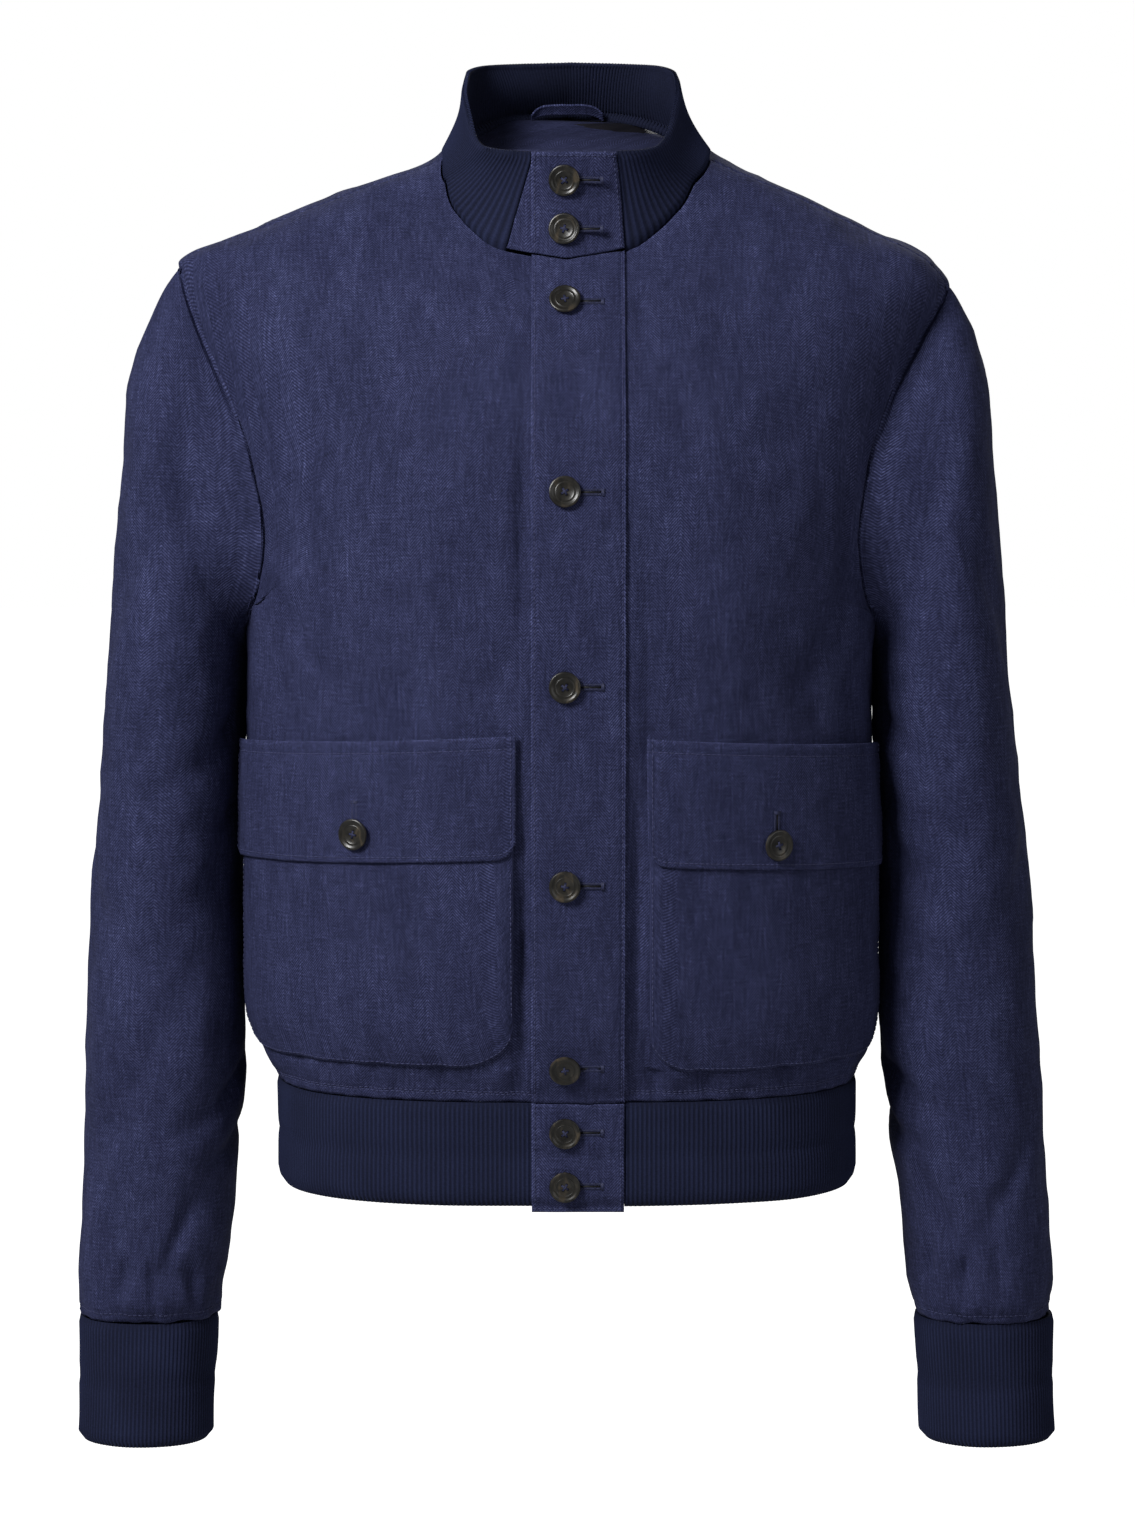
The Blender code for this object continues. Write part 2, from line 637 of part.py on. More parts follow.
def make_collar(rib_knit, linen, parts):
    columns, share = 112, 4

    def rib_place(raised):
        def place(across, up):
            first = collar_angle(mix(PLACKET_LEFT, COLLAR_TAB_LEFT, up) + SEAM, up)
            last = collar_angle(under_tab_end(up) - SEAM, up) - 2 * pi
            out = rib(across, columns) if raised else -RIB_WALL
            return collar(mix(first, last, across), up, out)

        return place

    ribbed("rib_collar", 3, columns, share, rib_place(True), rib_place(False), rib_knit, parts, False)

    def upper(across, up):
        x = mix(PLACKET_RIGHT, mix(PLACKET_LEFT, COLLAR_TAB_LEFT, up), across)
        return collar(collar_angle(x, up), up, LAYER + TAB_LIFT)

    def under(across, up):
        end = mix(UNDERLAP, COLLAR_UNDERLAP, up)
        return collar(collar_angle(mix(under_tab_end(up), end, across), up), up)

    cloth("collar_tab_upper", [(5, 5, upper, False)], linen, parts)
    cloth("collar_tab_under", [(5, 5, under, False)], linen, parts)


def make_hem(rib_knit, linen, parts):
    columns, share = 216, 4

    def rib_place(raised):
        def place(across, up):
            height = mix(HEM_BOTTOM, HEM_TOP, up)
            first = angle_at_x(PLACKET_LEFT + SEAM, height)
            last = angle_at_x(PLACKET_RIGHT - SEAM, height) - 2 * pi
            out = rib(across, columns) if raised else -RIB_WALL
            return hem(mix(first, last, across), up, out)

        return place

    ribbed("rib_hem", 3, columns, share, rib_place(True), rib_place(False), rib_knit, parts, False)

    def upper(across, up):
        height = mix(HEM_BOTTOM, HEM_TOP, up)
        share = up - TAB_DROP * (1 - up)
        return hem(angle_at_x(mix(PLACKET_RIGHT, PLACKET_LEFT, across), height), share, LAYER + PLACKET_LIFT)

    def under(across, up):
        height = mix(HEM_BOTTOM, HEM_TOP, up)
        return hem(angle_at_x(mix(PLACKET_RIGHT, UNDERLAP, across), height), up)

    cloth("hem_tab_upper", [(4, 5, upper, False)], linen, parts)
    cloth("hem_tab_under", [(4, 5, under, False)], linen, parts)


def make_cuffs(rib_knit, parts):
    columns, share = 64, 4
    for side in ("left", "right"):
        sign = -1 if side == "left" else 1

        def rib_place(raised):
            def place(across, up):
                height = mix(CUFF[0].height, CUFF[-1].height, up)
                out = rib(across, columns) if raised else -RIB_WALL
                return cuff(side, sign * 2 * pi * across, height, out)

            return place

        ribbed(side + "_cuff", 3, columns, share, rib_place(True), rib_place(False), rib_knit, parts, True)


def make_pockets(linen, parts):
    for row in POCKETS:
        leftward = row.side == "left"

        def patch(across, up):
            across = across if leftward else 1 - across
            return pocket_place(row, across, up, row.top, row.side_top, row.bottom, row.bottom, row.corner, 0)

        def flap(across, up):
            across = across if leftward else 1 - across
            wide = mix(-0.006, 1.004, across)
            rise = 0.003
            return pocket_place(
                row, wide, up, row.top + rise, row.side_top + rise, row.flap, row.side_flap, 0.008, 1
            )

        cloth(row.side + "_pocket", [(8, 11, patch, False)], linen, parts, POCKET_WALL)
        cloth(row.side + "_pocket_flap", [(4, 11, flap, False)], linen, parts, POCKET_WALL)


def make_button(name, point, out, horn, parts):
    """A turned button with a raised rim and a dished middle, standing on its thread."""
    bm = bmesh.new()
    outline = (
        (0.0, BUTTON_HEIGHT - BUTTON_DISH),
        (BUTTON_RADIUS - BUTTON_RIM, BUTTON_HEIGHT - BUTTON_DISH),
        (BUTTON_RADIUS - BUTTON_RIM / 2, BUTTON_HEIGHT),
        (BUTTON_RADIUS, BUTTON_HEIGHT * 0.6),
        (BUTTON_RADIUS * 0.8, 0.0),
        (0.0, 0.0),
    )
    points = [bm.verts.new((radius, 0, height)) for radius, height in outline]
    for a, b in zip(points, points[1:]):
        bm.edges.new((a, b))
    mesh = bpy.data.meshes.new(name)
    bm.to_mesh(mesh)
    bm.free()
    node = link(name, mesh, horn, parts)
    turned = node.modifiers.new("Turned", "SCREW")
    turned.steps = BUTTON_STEPS
    turned.render_steps = BUTTON_STEPS
    turned.use_merge_vertices = True
    turned.merge_threshold = 1e-5
    node.rotation_mode = "QUATERNION"
    node.rotation_quaternion = out.to_track_quat("Z", "Y")
    node.location = point


def make_buttons(horn, parts):
    seats = []
    for share in COLLAR_BUTTONS:
        angle = collar_angle(BUTTONS_X, share)
        low = collar(angle, share, LAYER)
        seats.append((low, collar(angle, share, LAYER + 0.001) - low))
    for height in PLACKET_BUTTONS:
        low = body_at_x(BUTTONS_X, height, LAYER + PLACKET_LIFT)
        seats.append((low, body_at_x(BUTTONS_X, height, LAYER + PLACKET_LIFT + 0.001) - low))
    for height in HEM_BUTTONS:
        share = (height - HEM_BOTTOM) / (HEM_TOP - HEM_BOTTOM)
        angle = angle_at_x(BUTTONS_X, height)
        low = hem(angle, share, LAYER + PLACKET_LIFT)
        seats.append((low, hem(angle, share, LAYER + PLACKET_LIFT + 0.001) - low))
    for number, (low, out) in enumerate(seats, 1):
        out.normalize()
        make_button(f"button_{number}", low + out * BUTTON_STAND, out, horn, parts)
    for row in POCKETS:
        near = POCKET_SEAT + 2 * LAYER + POCKET_AIR - 0.0002
        low = body_at_x(row.button_x, row.button, near)
        out = (body_at_x(row.button_x, row.button, near + 0.001) - low).normalized()
        make_button("pocket_button_" + row.side, low + out * BUTTON_STAND, out, horn, parts)


def make_loop(linen, parts):
    half_width = 0.022
    loop_height = 0.006
    middle = 0.0305

    def place(across, up):
        end = abs(2 * across - 1)
        x = mix(half_width, -half_width, across)
        z = middle - 0.005 * end ** 5 + loop_height * (up - 0.5) * (1 - 0.3 * end ** 5)
        y = 0.0618 - 0.0020 * (1 - end ** 2) - 0.004 * (up - 0.5)
        return Vector((x, y, z))

    cloth("hanger_loop", [(1, 10, place, False)], linen, parts, 0.0012)


def make_lining(lining, parts):
    """The lining behind the neck: the back's own points, moved in, for some of its rows and columns."""
    first_row = 14
    columns = 5
    inside = -LINEN_WALL - 0.0007
    share = columns / BACK_COLUMNS

    def left(across, up):
        return back_point("left", mix(1 - share, 1, across), mix(first_row / PANEL_ROWS, 1, up), inside)

    def right(across, up):
        return back_point("right", share * across, mix(first_row / PANEL_ROWS, 1, up), inside)

    rows = PANEL_ROWS - first_row
    cloth("back_neck_lining", [(rows, columns, left, False), (rows, columns, right, False)], lining, parts, 0.0010)


def main():
    for thing in list(bpy.data.objects):
        bpy.data.objects.remove(thing)
    parts = bpy.data.collections.new("Linen jacket")
    bpy.context.scene.collection.children.link(parts)
    linen = material("Navy herringbone linen", (0.026, 0.030, 0.084), 0.8)
    rib_knit = material("Dark navy rib knit", (0.012, 0.016, 0.038), 0.85)
    lining = material("Dark lining twill", (0.022, 0.020, 0.030), 0.5)
    horn = material("Dark horn buttons", (0.040, 0.040, 0.035), 0.3)
    make_fronts(linen, parts)
    make_back(linen, parts)
    make_placket(linen, parts)
    make_sleeves(linen, parts)
    make_collar(rib_knit, linen, parts)
    make_hem(rib_knit, linen, parts)
    make_cuffs(rib_knit, parts)
    make_pockets(linen, parts)
    make_buttons(horn, parts)
    make_loop(linen, parts)
    make_lining(lining, parts)


main()
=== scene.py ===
"""A men's linen blouson jacket, filled out with no wearer: its looks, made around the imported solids.

Metres, +Z up. The front faces -Y and +X is the wearer's left. Each cloth is a thin shell on its solid's own
form, with the creases of the real one, and its UV map holds real metres along and across the cloth's grain.
"""

from bisect import bisect_right
from collections import namedtuple
from functools import lru_cache
from math import atan2, ceil, cos, degrees, exp, hypot, pi, radians, sin, sqrt

import bmesh
import bpy
from mathutils import Matrix, Vector, noise


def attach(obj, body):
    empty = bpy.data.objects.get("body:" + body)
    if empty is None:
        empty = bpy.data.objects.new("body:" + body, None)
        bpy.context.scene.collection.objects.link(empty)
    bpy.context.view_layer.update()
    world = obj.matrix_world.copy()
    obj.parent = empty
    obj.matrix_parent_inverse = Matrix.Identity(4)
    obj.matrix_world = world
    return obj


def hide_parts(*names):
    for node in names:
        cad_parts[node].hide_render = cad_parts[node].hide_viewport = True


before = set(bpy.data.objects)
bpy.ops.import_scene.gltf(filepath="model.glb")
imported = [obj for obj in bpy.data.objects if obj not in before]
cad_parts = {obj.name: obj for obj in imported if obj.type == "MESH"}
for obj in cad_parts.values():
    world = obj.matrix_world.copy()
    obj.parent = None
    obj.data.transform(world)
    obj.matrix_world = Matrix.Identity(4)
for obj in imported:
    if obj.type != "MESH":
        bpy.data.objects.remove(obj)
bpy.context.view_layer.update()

bl_info = {
    "name": "Linen blouson jacket",
    "version": (1, 0, 0),
    "blender": (4, 5, 0),
    "location": "3D View > Sidebar > Jacket",
    "description": "Builds the cloth, rib knit, buttons and sewing of a linen jacket",
    "category": "Add Mesh",
}

LINEN_WALL = 0.0015  # of the solids
SHELL_WALL = 0.0012
RIB_WALL = 0.0022
SEAM = 0.0003
LAYER = 0.0018  # height of one layer of linen over another
POCKET_SEAT = 0.0011
POCKET_AIR = 0.0015
SEAM_ANGLE = 0.0004
HALVINGS = 30
SHOULDER_ANGLE = 0.001
SIDE_SEAM_ROWS = 0.48
CENTRE_ROWS = 0.76
UNDERLAP_ROWS = 0.68

NECK_FRONT = -0.061
UNDERARM = -0.277
HEM_TOP = -0.539
HEM_BOTTOM = -0.601
TAB_DROP = 0.035

PLACKET_RIGHT = -0.0205
PLACKET_LEFT = 0.0325
UNDERLAP = 0.0275

BUTTON_RADIUS = 0.0090
BUTTON_STAND = 0.0006
HOLE_OFFSET = 0.0019
HEM_STITCHES = (0.0048, 0.0062)  # from the foot of the body's cloth
PLACKET_LIFT = 0.0004
TAB_LIFT = 0.0003
RIB_RAISE = 0.0006
SLEEVE_GRAIN_RADIUS = 0.052
SLEEVE_TUCK = 0.0006  # how far a sleeve's head lies under the edge of the armhole
CUFF_BACK = -0.008

PHOTO_HEIGHT = 1513
FOCAL_PIXELS = 4407
CAMERA_PLACE = (0, -2.6, -0.079)
CAMERA_TILT = 6
GROUND_HEIGHT = -1.25
GROUND_RADIUS = 14
SKY_STRENGTH = 1.0
KEY_POWER = 140
SKY_LIGHT = 0.22  # strength of the sky on the jacket, against what the camera sees of it
GROUND_GLOW = 1.0  # what the camera sees of the ground

CREASE_DEPTH = 2.4  # how strongly the creases in the tables stand
COLLAR_FOOT = -0.12  # share of the collar's height that goes on under the neck seam
COLLAR_SINK = 0.0028
RIB_TURN_IN = 0.0015  # of a band's end under the tab
COLLAR_TAB_LEFT = 0.0275
COLLAR_UNDERLAP = 0.0225
COLLAR_TAB_RIGHT = -0.0350
TAB_SLANT = 1.1
POCKET_WIDTH = 0.175

# The body's sections: half widths of the wearer's right and left side, depths before and behind the origin,
# and the exponent of the section's outline, where 2 is an ellipse and more is squarer.
BodyRow = namedtuple("BodyRow", "height right left front back square")
BODY = (
    BodyRow(-0.605, 0.1715, 0.1710, 0.113, 0.112, 3.00),
    BodyRow(-0.539, 0.1720, 0.1710, 0.116, 0.115, 2.90),
    BodyRow(-0.522, 0.1800, 0.1780, 0.123, 0.120, 2.70),
    BodyRow(-0.490, 0.1890, 0.1830, 0.131, 0.126, 2.50),
    BodyRow(-0.400, 0.1905, 0.1820, 0.138, 0.130, 2.35),
    BodyRow(-0.340, 0.1895, 0.1800, 0.139, 0.132, 2.35),
    BodyRow(-0.275, 0.1890, 0.1805, 0.139, 0.134, 2.35),
    BodyRow(-0.235, 0.1900, 0.1830, 0.137, 0.135, 2.35),
    BodyRow(-0.183, 0.1960, 0.1870, 0.130, 0.134, 2.35),
    BodyRow(-0.142, 0.2050, 0.1950, 0.119, 0.131, 2.35),
    BodyRow(-0.107, 0.2170, 0.2090, 0.103, 0.125, 2.35),
    BodyRow(-0.075, 0.2260, 0.2230, 0.083, 0.114, 2.35),
    BodyRow(-0.062, 0.2280, 0.2150, 0.070, 0.107, 2.35),
    BodyRow(-0.040, 0.1800, 0.1740, 0.054, 0.098, 2.35),
    BodyRow(-0.020, 0.1290, 0.1320, 0.043, 0.090, 2.35),
    BodyRow(0.000, 0.0760, 0.0865, 0.036, 0.082, 2.35),
    BodyRow(0.015, 0.0635, 0.0705, 0.033, 0.076, 2.35),
    BodyRow(0.030, 0.0500, 0.0550, 0.030, 0.070, 2.35),
)

# The neck seam on the body: the angle either side of the centre front, and the height there.
NeckRow = namedtuple("NeckRow", "angle height")
NECK = (
    NeckRow(0, -0.061),
    NeckRow(10, -0.054),
    NeckRow(16, -0.044),
    NeckRow(23, -0.032),
    NeckRow(36, -0.015),
    NeckRow(66, -0.001),
    NeckRow(100, 0.006),
    NeckRow(140, 0.023),
    NeckRow(180, 0.029),
)
NECK_POINT = 66  # angle from the centre front where the shoulder seam meets the collar

# The front half of the armhole from the shoulder down, and the back half: angles from the side of the body.
ArmholeRow = namedtuple("ArmholeRow", "drop front back")
ARMHOLE = (
    ArmholeRow(0.00, 12, 12),
    ArmholeRow(0.15, 17, -3),
    ArmholeRow(0.30, 22, -14),
    ArmholeRow(0.50, 27, -23),
    ArmholeRow(0.70, 29, -28),
    ArmholeRow(0.80, 27, -27),
    ArmholeRow(0.88, 23, -23),
    ArmholeRow(0.94, 17, -17),
    ArmholeRow(0.985, 9, -9),
    ArmholeRow(1.00, 0, 0),
)
SHOULDER_POINT = {"right": -0.064, "left": -0.075}

# Soft folds of the body: angle and height of the middle, half length, half width and depth, and the lean
# from upright.
FoldRow = namedtuple("FoldRow", "angle height run width depth lean")
BODY_FOLDS = (
    FoldRow(120, -0.082, 0.045, 0.012, -0.0018, 88),
    FoldRow(60, -0.080, 0.045, 0.012, -0.0015, 94),
    FoldRow(98, -0.430, 0.110, 0.007, -0.0006, 2),
    FoldRow(77, -0.440, 0.120, 0.007, -0.0012, -2),
    FoldRow(-30, -0.350, 0.070, 0.014, 0.0018, 38),
    FoldRow(-150, -0.350, 0.070, 0.014, 0.0018, -38),
    FoldRow(-60, -0.470, 0.090, 0.022, 0.0026, 12),
    FoldRow(-100, -0.480, 0.080, 0.024, 0.0022, -6),
    FoldRow(-130, -0.460, 0.090, 0.020, 0.0026, -14),
    FoldRow(-90, -0.060, 0.090, 0.016, -0.0018, 90),
)


@lru_cache(maxsize=None)
def smooth_table(rows, key, column):
    """Places, values and slopes of a table's column, with slopes that keep its curve from overshooting."""
    rows = sorted(rows, key=lambda row: getattr(row, key))
    places = [getattr(row, key) for row in rows]
    values = [getattr(row, column) for row in rows]
    steps = [(values[j + 1] - values[j]) / (places[j + 1] - places[j]) for j in range(len(rows) - 1)]
    slopes = [steps[0]]
    for before, after in zip(steps, steps[1:]):
        slopes.append(2 * before * after / (before + after) if before * after > 0 else 0)
    slopes.append(steps[-1])
    return places, values, slopes


@lru_cache(maxsize=400000)
def table_value(rows, key, column, at):
    """A column of a table at a place between its rows."""
    places, values, slopes = smooth_table(rows, key, column)
    at = min(max(at, places[0]), places[-1])
    i = min(bisect_right(places, at), len(places) - 1) - 1
    span = places[i + 1] - places[i]
    t = (at - places[i]) / span
    return (
        values[i] * (1 + 2 * t) * (1 - t) ** 2
        + values[i + 1] * t * t * (3 - 2 * t)
        + span * t * (1 - t) * (slopes[i] * (1 - t) - slopes[i + 1] * t)
    )


def turn_between(a, b):
    """The smallest turn from angle b to angle a."""
    return (a - b + pi) % (2 * pi) - pi


def dent(row, side, up):
    """How much of a fold's or crease's depth stands at a distance sideways and up from its middle."""
    lean = radians(row.lean)
    across = side * cos(lean) - up * sin(lean)
    along = side * sin(lean) + up * cos(lean)
    return exp(-((across / row.width) ** 2) - (along / row.run) ** 2)


def fold_height(folds, angle, height, radius):
    total = 0
    for fold in folds:
        side = turn_between(angle, radians(fold.angle)) * radius
        total += fold.depth * dent(fold, side, height - fold.height)
    return total


def oval_reach(angle, n):
    """How far an outline with the exponent n reaches at an angle, where its half widths are 1."""
    return (abs(cos(angle)) ** n + abs(sin(angle)) ** n) ** (-1 / n)


def plain_body(angle, height):
    """A point of the body's form, before its folds."""
    side = "left" if cos(angle) > 0 else "right"
    face = "front" if sin(angle) > 0 else "back"
    reach = oval_reach(angle, table_value(BODY, "height", "square", height))
    x = table_value(BODY, "height", side, height) * cos(angle) * reach
    y = -table_value(BODY, "height", face, height) * sin(angle) * reach
    return Vector((x, y, height))


def outward(place, angle, height):
    """The direction out of a surface that place(angle, height) gives."""
    step = 1e-3
    around = place(angle + step, height) - place(angle - step, height)
    up = place(angle, height + step) - place(angle, height - step)
    return up.cross(around).normalized()


def body(angle, height, out=0.0):
    """A point of the body's outer face, or one moved out from it."""
    point = plain_body(angle, height)
    fold = fold_height(BODY_FOLDS, angle, height, 0.15)
    return point + outward(plain_body, angle, height) * (fold + out)


def neck_height(angle):
    off_front = degrees(abs(turn_between(angle, pi / 2)))
    return table_value(NECK, "angle", "height", off_front)


def angle_of_x(place, x, at, low, high):
    """The angle at which place(angle, at) passes a distance from the centre line, by halving."""
    for _ in range(HALVINGS):
        middle = (low + high) / 2
        if place(middle, at).x > x:
            low = middle
        else:
            high = middle
    return low


@lru_cache(maxsize=400000)
def angle_at_x(x, height):
    return angle_of_x(plain_body, x, height, 0.0, pi)


def body_at_x(x, height, out=0.0):
    """A point of the body's front at a distance from the centre line."""
    return body(angle_at_x(x, height), height, out)


@lru_cache(maxsize=400000)
def armhole(side, face, drop):
    """Angle and height of the armhole, for a drop from 0 at the shoulder to 1 at the underarm."""
    off = radians(table_value(ARMHOLE, "drop", face, drop))
    top = SHOULDER_POINT[side]
    height = top + (UNDERARM - top) * drop
    if side == "left":
        return off, height
    return pi - off, height


@lru_cache(maxsize=400000)
def edge_of_panel(side, face, up):
    """The side seam and armhole of a front or back, for up from 0 at the hem to 1 at the shoulder point."""
    if up < SIDE_SEAM_ROWS:
        height = HEM_TOP + SEAM + (UNDERARM - HEM_TOP - SEAM) * up / SIDE_SEAM_ROWS
        angle = 0 if side == "left" else pi
    else:
        around = (up - SIDE_SEAM_ROWS) / (1 - SIDE_SEAM_ROWS)
        angle, height = armhole(side, face, (1 + cos(pi * around)) / 2)
    if side == "right" and face == "back":
        angle -= 2 * pi
    inwards = 1 if (side == "left") == (face == "front") else -1
    return angle + inwards * (SEAM_ANGLE + SHOULDER_ANGLE * up ** 12), height


@lru_cache(maxsize=400000)
def centre_edge(side, face, up, start, centre_rows=CENTRE_ROWS):
    """The edge by the placket or centre back and then the neckline, for up from 0 to 1."""
    point_angle = radians(90 - NECK_POINT) if side == "left" else radians(90 + NECK_POINT)
    centre = pi / 2 if face == "front" else -pi / 2
    if side == "right" and face == "back":
        point_angle -= 2 * pi
    inwards = 1 if (side == "left") == (face == "front") else -1
    point_angle += inwards * (SEAM_ANGLE + SHOULDER_ANGLE)
    top_start = angle_at_x(start, NECK_FRONT) if face == "front" else centre
    if up < centre_rows:
        top = neck_height(top_start) - SEAM
        height = HEM_TOP + SEAM + (top - HEM_TOP - SEAM) * up / centre_rows
        angle = angle_at_x(start, height) if face == "front" else centre
        return angle, height
    share = (up - centre_rows) / (1 - centre_rows)
    angle = top_start + (point_angle - top_start) * share
    return angle, neck_height(angle) - SEAM


# The collar's top edge: angle either side of the centre front, and the place there.
CollarRow = namedtuple("CollarRow", "angle side depth height")
COLLAR = (
    CollarRow(0, 0.000, -0.070, 0.001),
    CollarRow(20, 0.030, -0.069, 0.001),
    CollarRow(34, 0.047, -0.062, 0.003),
    CollarRow(46, 0.055, -0.049, 0.010),
    CollarRow(60, 0.060, -0.030, 0.024),
    CollarRow(80, 0.063, -0.008, 0.040),
    CollarRow(105, 0.062, 0.018, 0.050),
    CollarRow(130, 0.053, 0.042, 0.055),
    CollarRow(155, 0.030, 0.053, 0.057),
    CollarRow(180, 0.000, 0.055, 0.058),
)
COLLAR_LIFT = 0.0017  # from the neckline's faceted edge to the collar
COLLAR_BOW = 0.0030
COLLAR_SHIFT = 0.0020  # the collar leans towards the wearer's left

# The sleeve: height of a section, its outer and inner edge on each side, its half depth and its place from
# front to back.
SleeveRow = namedtuple("SleeveRow", "height right_outer right_inner left_outer left_inner depth back")
SLEEVE = (
    SleeveRow(-0.686, 0.2905, 0.2090, 0.2875, 0.2085, 0.034, -0.008),
    SleeveRow(-0.672, 0.2915, 0.2065, 0.2895, 0.2055, 0.041, -0.008),
    SleeveRow(-0.620, 0.2895, 0.2000, 0.2860, 0.1990, 0.047, -0.008),
    SleeveRow(-0.560, 0.2870, 0.1935, 0.2825, 0.1910, 0.054, -0.008),
    SleeveRow(-0.510, 0.2855, 0.1920, 0.2795, 0.1855, 0.060, -0.006),
    SleeveRow(-0.450, 0.2830, 0.1925, 0.2755, 0.1850, 0.065, -0.002),
    SleeveRow(-0.390, 0.2790, 0.1925, 0.2700, 0.1845, 0.070, 0.000),
    SleeveRow(-0.330, 0.2745, 0.1920, 0.2640, 0.1830, 0.074, 0.002),
    SleeveRow(-0.300, 0.2725, 0.1915, 0.2615, 0.1825, 0.074, 0.003),
)
SLEEVE_FOOT = -0.6857

# The sleeve's head: how far its ring has turned down from the armhole, and the outline that its outer edge
# follows.
HeadRow = namedtuple("HeadRow", "turn right left height depth")
HEAD = (
    HeadRow(0.00, 0.2290, 0.2240, -0.064, 0.060),
    HeadRow(0.12, 0.2410, 0.2350, -0.080, 0.062),
    HeadRow(0.25, 0.2495, 0.2420, -0.100, 0.065),
    HeadRow(0.40, 0.2565, 0.2465, -0.130, 0.068),
    HeadRow(0.60, 0.2615, 0.2500, -0.180, 0.071),
    HeadRow(0.80, 0.2670, 0.2560, -0.240, 0.073),
    HeadRow(1.00, 0.2725, 0.2615, -0.300, 0.074),
)
HEAD_ROWS = 0.40  # share of a sleeve's rows in its head
PIVOT = -0.300
SLEEVE_FOLDS = (
    FoldRow(80, -0.470, 0.030, 0.016, -0.0025, 75),
    FoldRow(150, -0.430, 0.035, 0.016, -0.0025, 60),
    FoldRow(60, -0.560, 0.030, 0.018, -0.0020, 80),
    FoldRow(130, -0.610, 0.030, 0.016, -0.0022, 70),
    FoldRow(240, -0.480, 0.035, 0.018, -0.0028, 105),
    FoldRow(290, -0.400, 0.035, 0.018, -0.0022, 95),
    FoldRow(250, -0.600, 0.030, 0.018, -0.0022, 100),
    FoldRow(110, -0.655, 0.050, 0.007, -0.0014, 90),
    FoldRow(290, -0.655, 0.050, 0.007, -0.0014, 90),
)

CuffRow = namedtuple("CuffRow", "height right left width depth")
CUFF = (
    CuffRow(-0.7615, 0.2534, 0.2520, 0.0375, 0.0310),
    CuffRow(-0.7565, 0.2532, 0.2518, 0.0402, 0.0330),
    CuffRow(-0.7230, 0.2520, 0.2505, 0.0402, 0.0335),
    CuffRow(-0.6860, 0.2508, 0.2492, 0.0412, 0.0340),
)

# Patch pockets: x of the edge by the placket, angle of the side edge, heights, and the radius of the bottom
# corners.
PocketRow = namedtuple(
    "PocketRow", "side centre_x side_angle top side_top flap side_flap bottom corner button_x button"
)
POCKETS = (
    PocketRow("right", -0.0300, 167, -0.329, -0.341, -0.396, -0.406, -0.517, 0.027, -0.1180, -0.3835),
    PocketRow("left", 0.0455, 13, -0.331, -0.343, -0.400, -0.412, -0.520, 0.024, 0.1160, -0.3900),
)

BUTTONS_X = -0.0015
COLLAR_BUTTONS = (0.74, 0.27)  # shares of the collar's height
PLACKET_BUTTONS = (-0.0845, -0.190, -0.2985, -0.411, -0.517)
HEM_BUTTONS = (-0.556, -0.5876)


def mix(a, b, share):
    return a + (b - a) * share


def collar(angle, share, out=0.0):
    """A point of the collar's outer face, for a share from 0 at the neck seam to 1 at the top edge."""
    def place(turn, up):
        off = degrees(abs(turn_between(turn, pi / 2)))
        side = 1 if turn_between(turn, pi / 2) < 0 else -1
        foot = plain_body(turn, neck_height(turn)) + Vector((0, 0, COLLAR_LIFT))
        x = side * table_value(COLLAR, "angle", "side", off) + COLLAR_SHIFT * min(off / 60, 1)
        y = table_value(COLLAR, "angle", "depth", off)
        z = table_value(COLLAR, "angle", "height", off)
        point = foot.lerp(Vector((x, y, z)), up)
        bow = COLLAR_BOW * sin(pi * min(max(up, 0), 1))
        flat = Vector((point.x, point.y, 0)).normalized()
        return point - flat * bow

    if not out:
        return place(angle, share)
    return place(angle, share) + outward(place, angle, share) * out


@lru_cache(maxsize=400000)
def collar_angle(x, share):
    """The angle at which the collar's front passes a distance from the centre line."""
    return angle_of_x(collar, x, share, 0.3, pi - 0.3)


def hem(angle, share, out=0.0):
    """A point of the waistband's outer face, for a share from 0 at its lower edge to 1 at its seam."""
    height = mix(HEM_BOTTOM, HEM_TOP - SEAM, share)
    tuck = -0.0030 * exp(-((share / 0.07) ** 2)) - 0.0009 * exp(-(((share - 0.5) / 0.06) ** 2))
    return plain_body(angle, height) + outward(plain_body, angle, height) * (tuck + out)


def ring_point(centre, along, half_long, half_deep, turn):
    """A point of a sleeve's section: turn 0 is its outer edge, a quarter turn its front."""
    reach = oval_reach(turn, 2.15)
    return centre + along * (half_long * cos(turn) * reach) + Vector((0, -half_deep * sin(turn) * reach, 0))


def clear_of_body(point, gap):
    """The point, moved sideways where it would come nearer than the gap to the body's side."""
    side = "left" if point.x > 0 else "right"
    face = "front" if point.y < 0 else "back"
    depth = table_value(BODY, "height", face, point.z)
    n = table_value(BODY, "height", "square", point.z)
    inside = max(1 - abs(point.y / depth) ** n, 0)
    least = table_value(BODY, "height", side, point.z) * inside ** (1 / n) + gap
    if abs(point.x) >= least or point.z > SHOULDER_POINT[side] - 0.06:
        return point
    return Vector((least if point.x > 0 else -least, point.y, point.z))


def armhole_point(side, turn):
    drop = (1 - cos(turn)) / 2
    face = "front" if sin(turn) > 0 else "back"
    return armhole(side, face, drop)


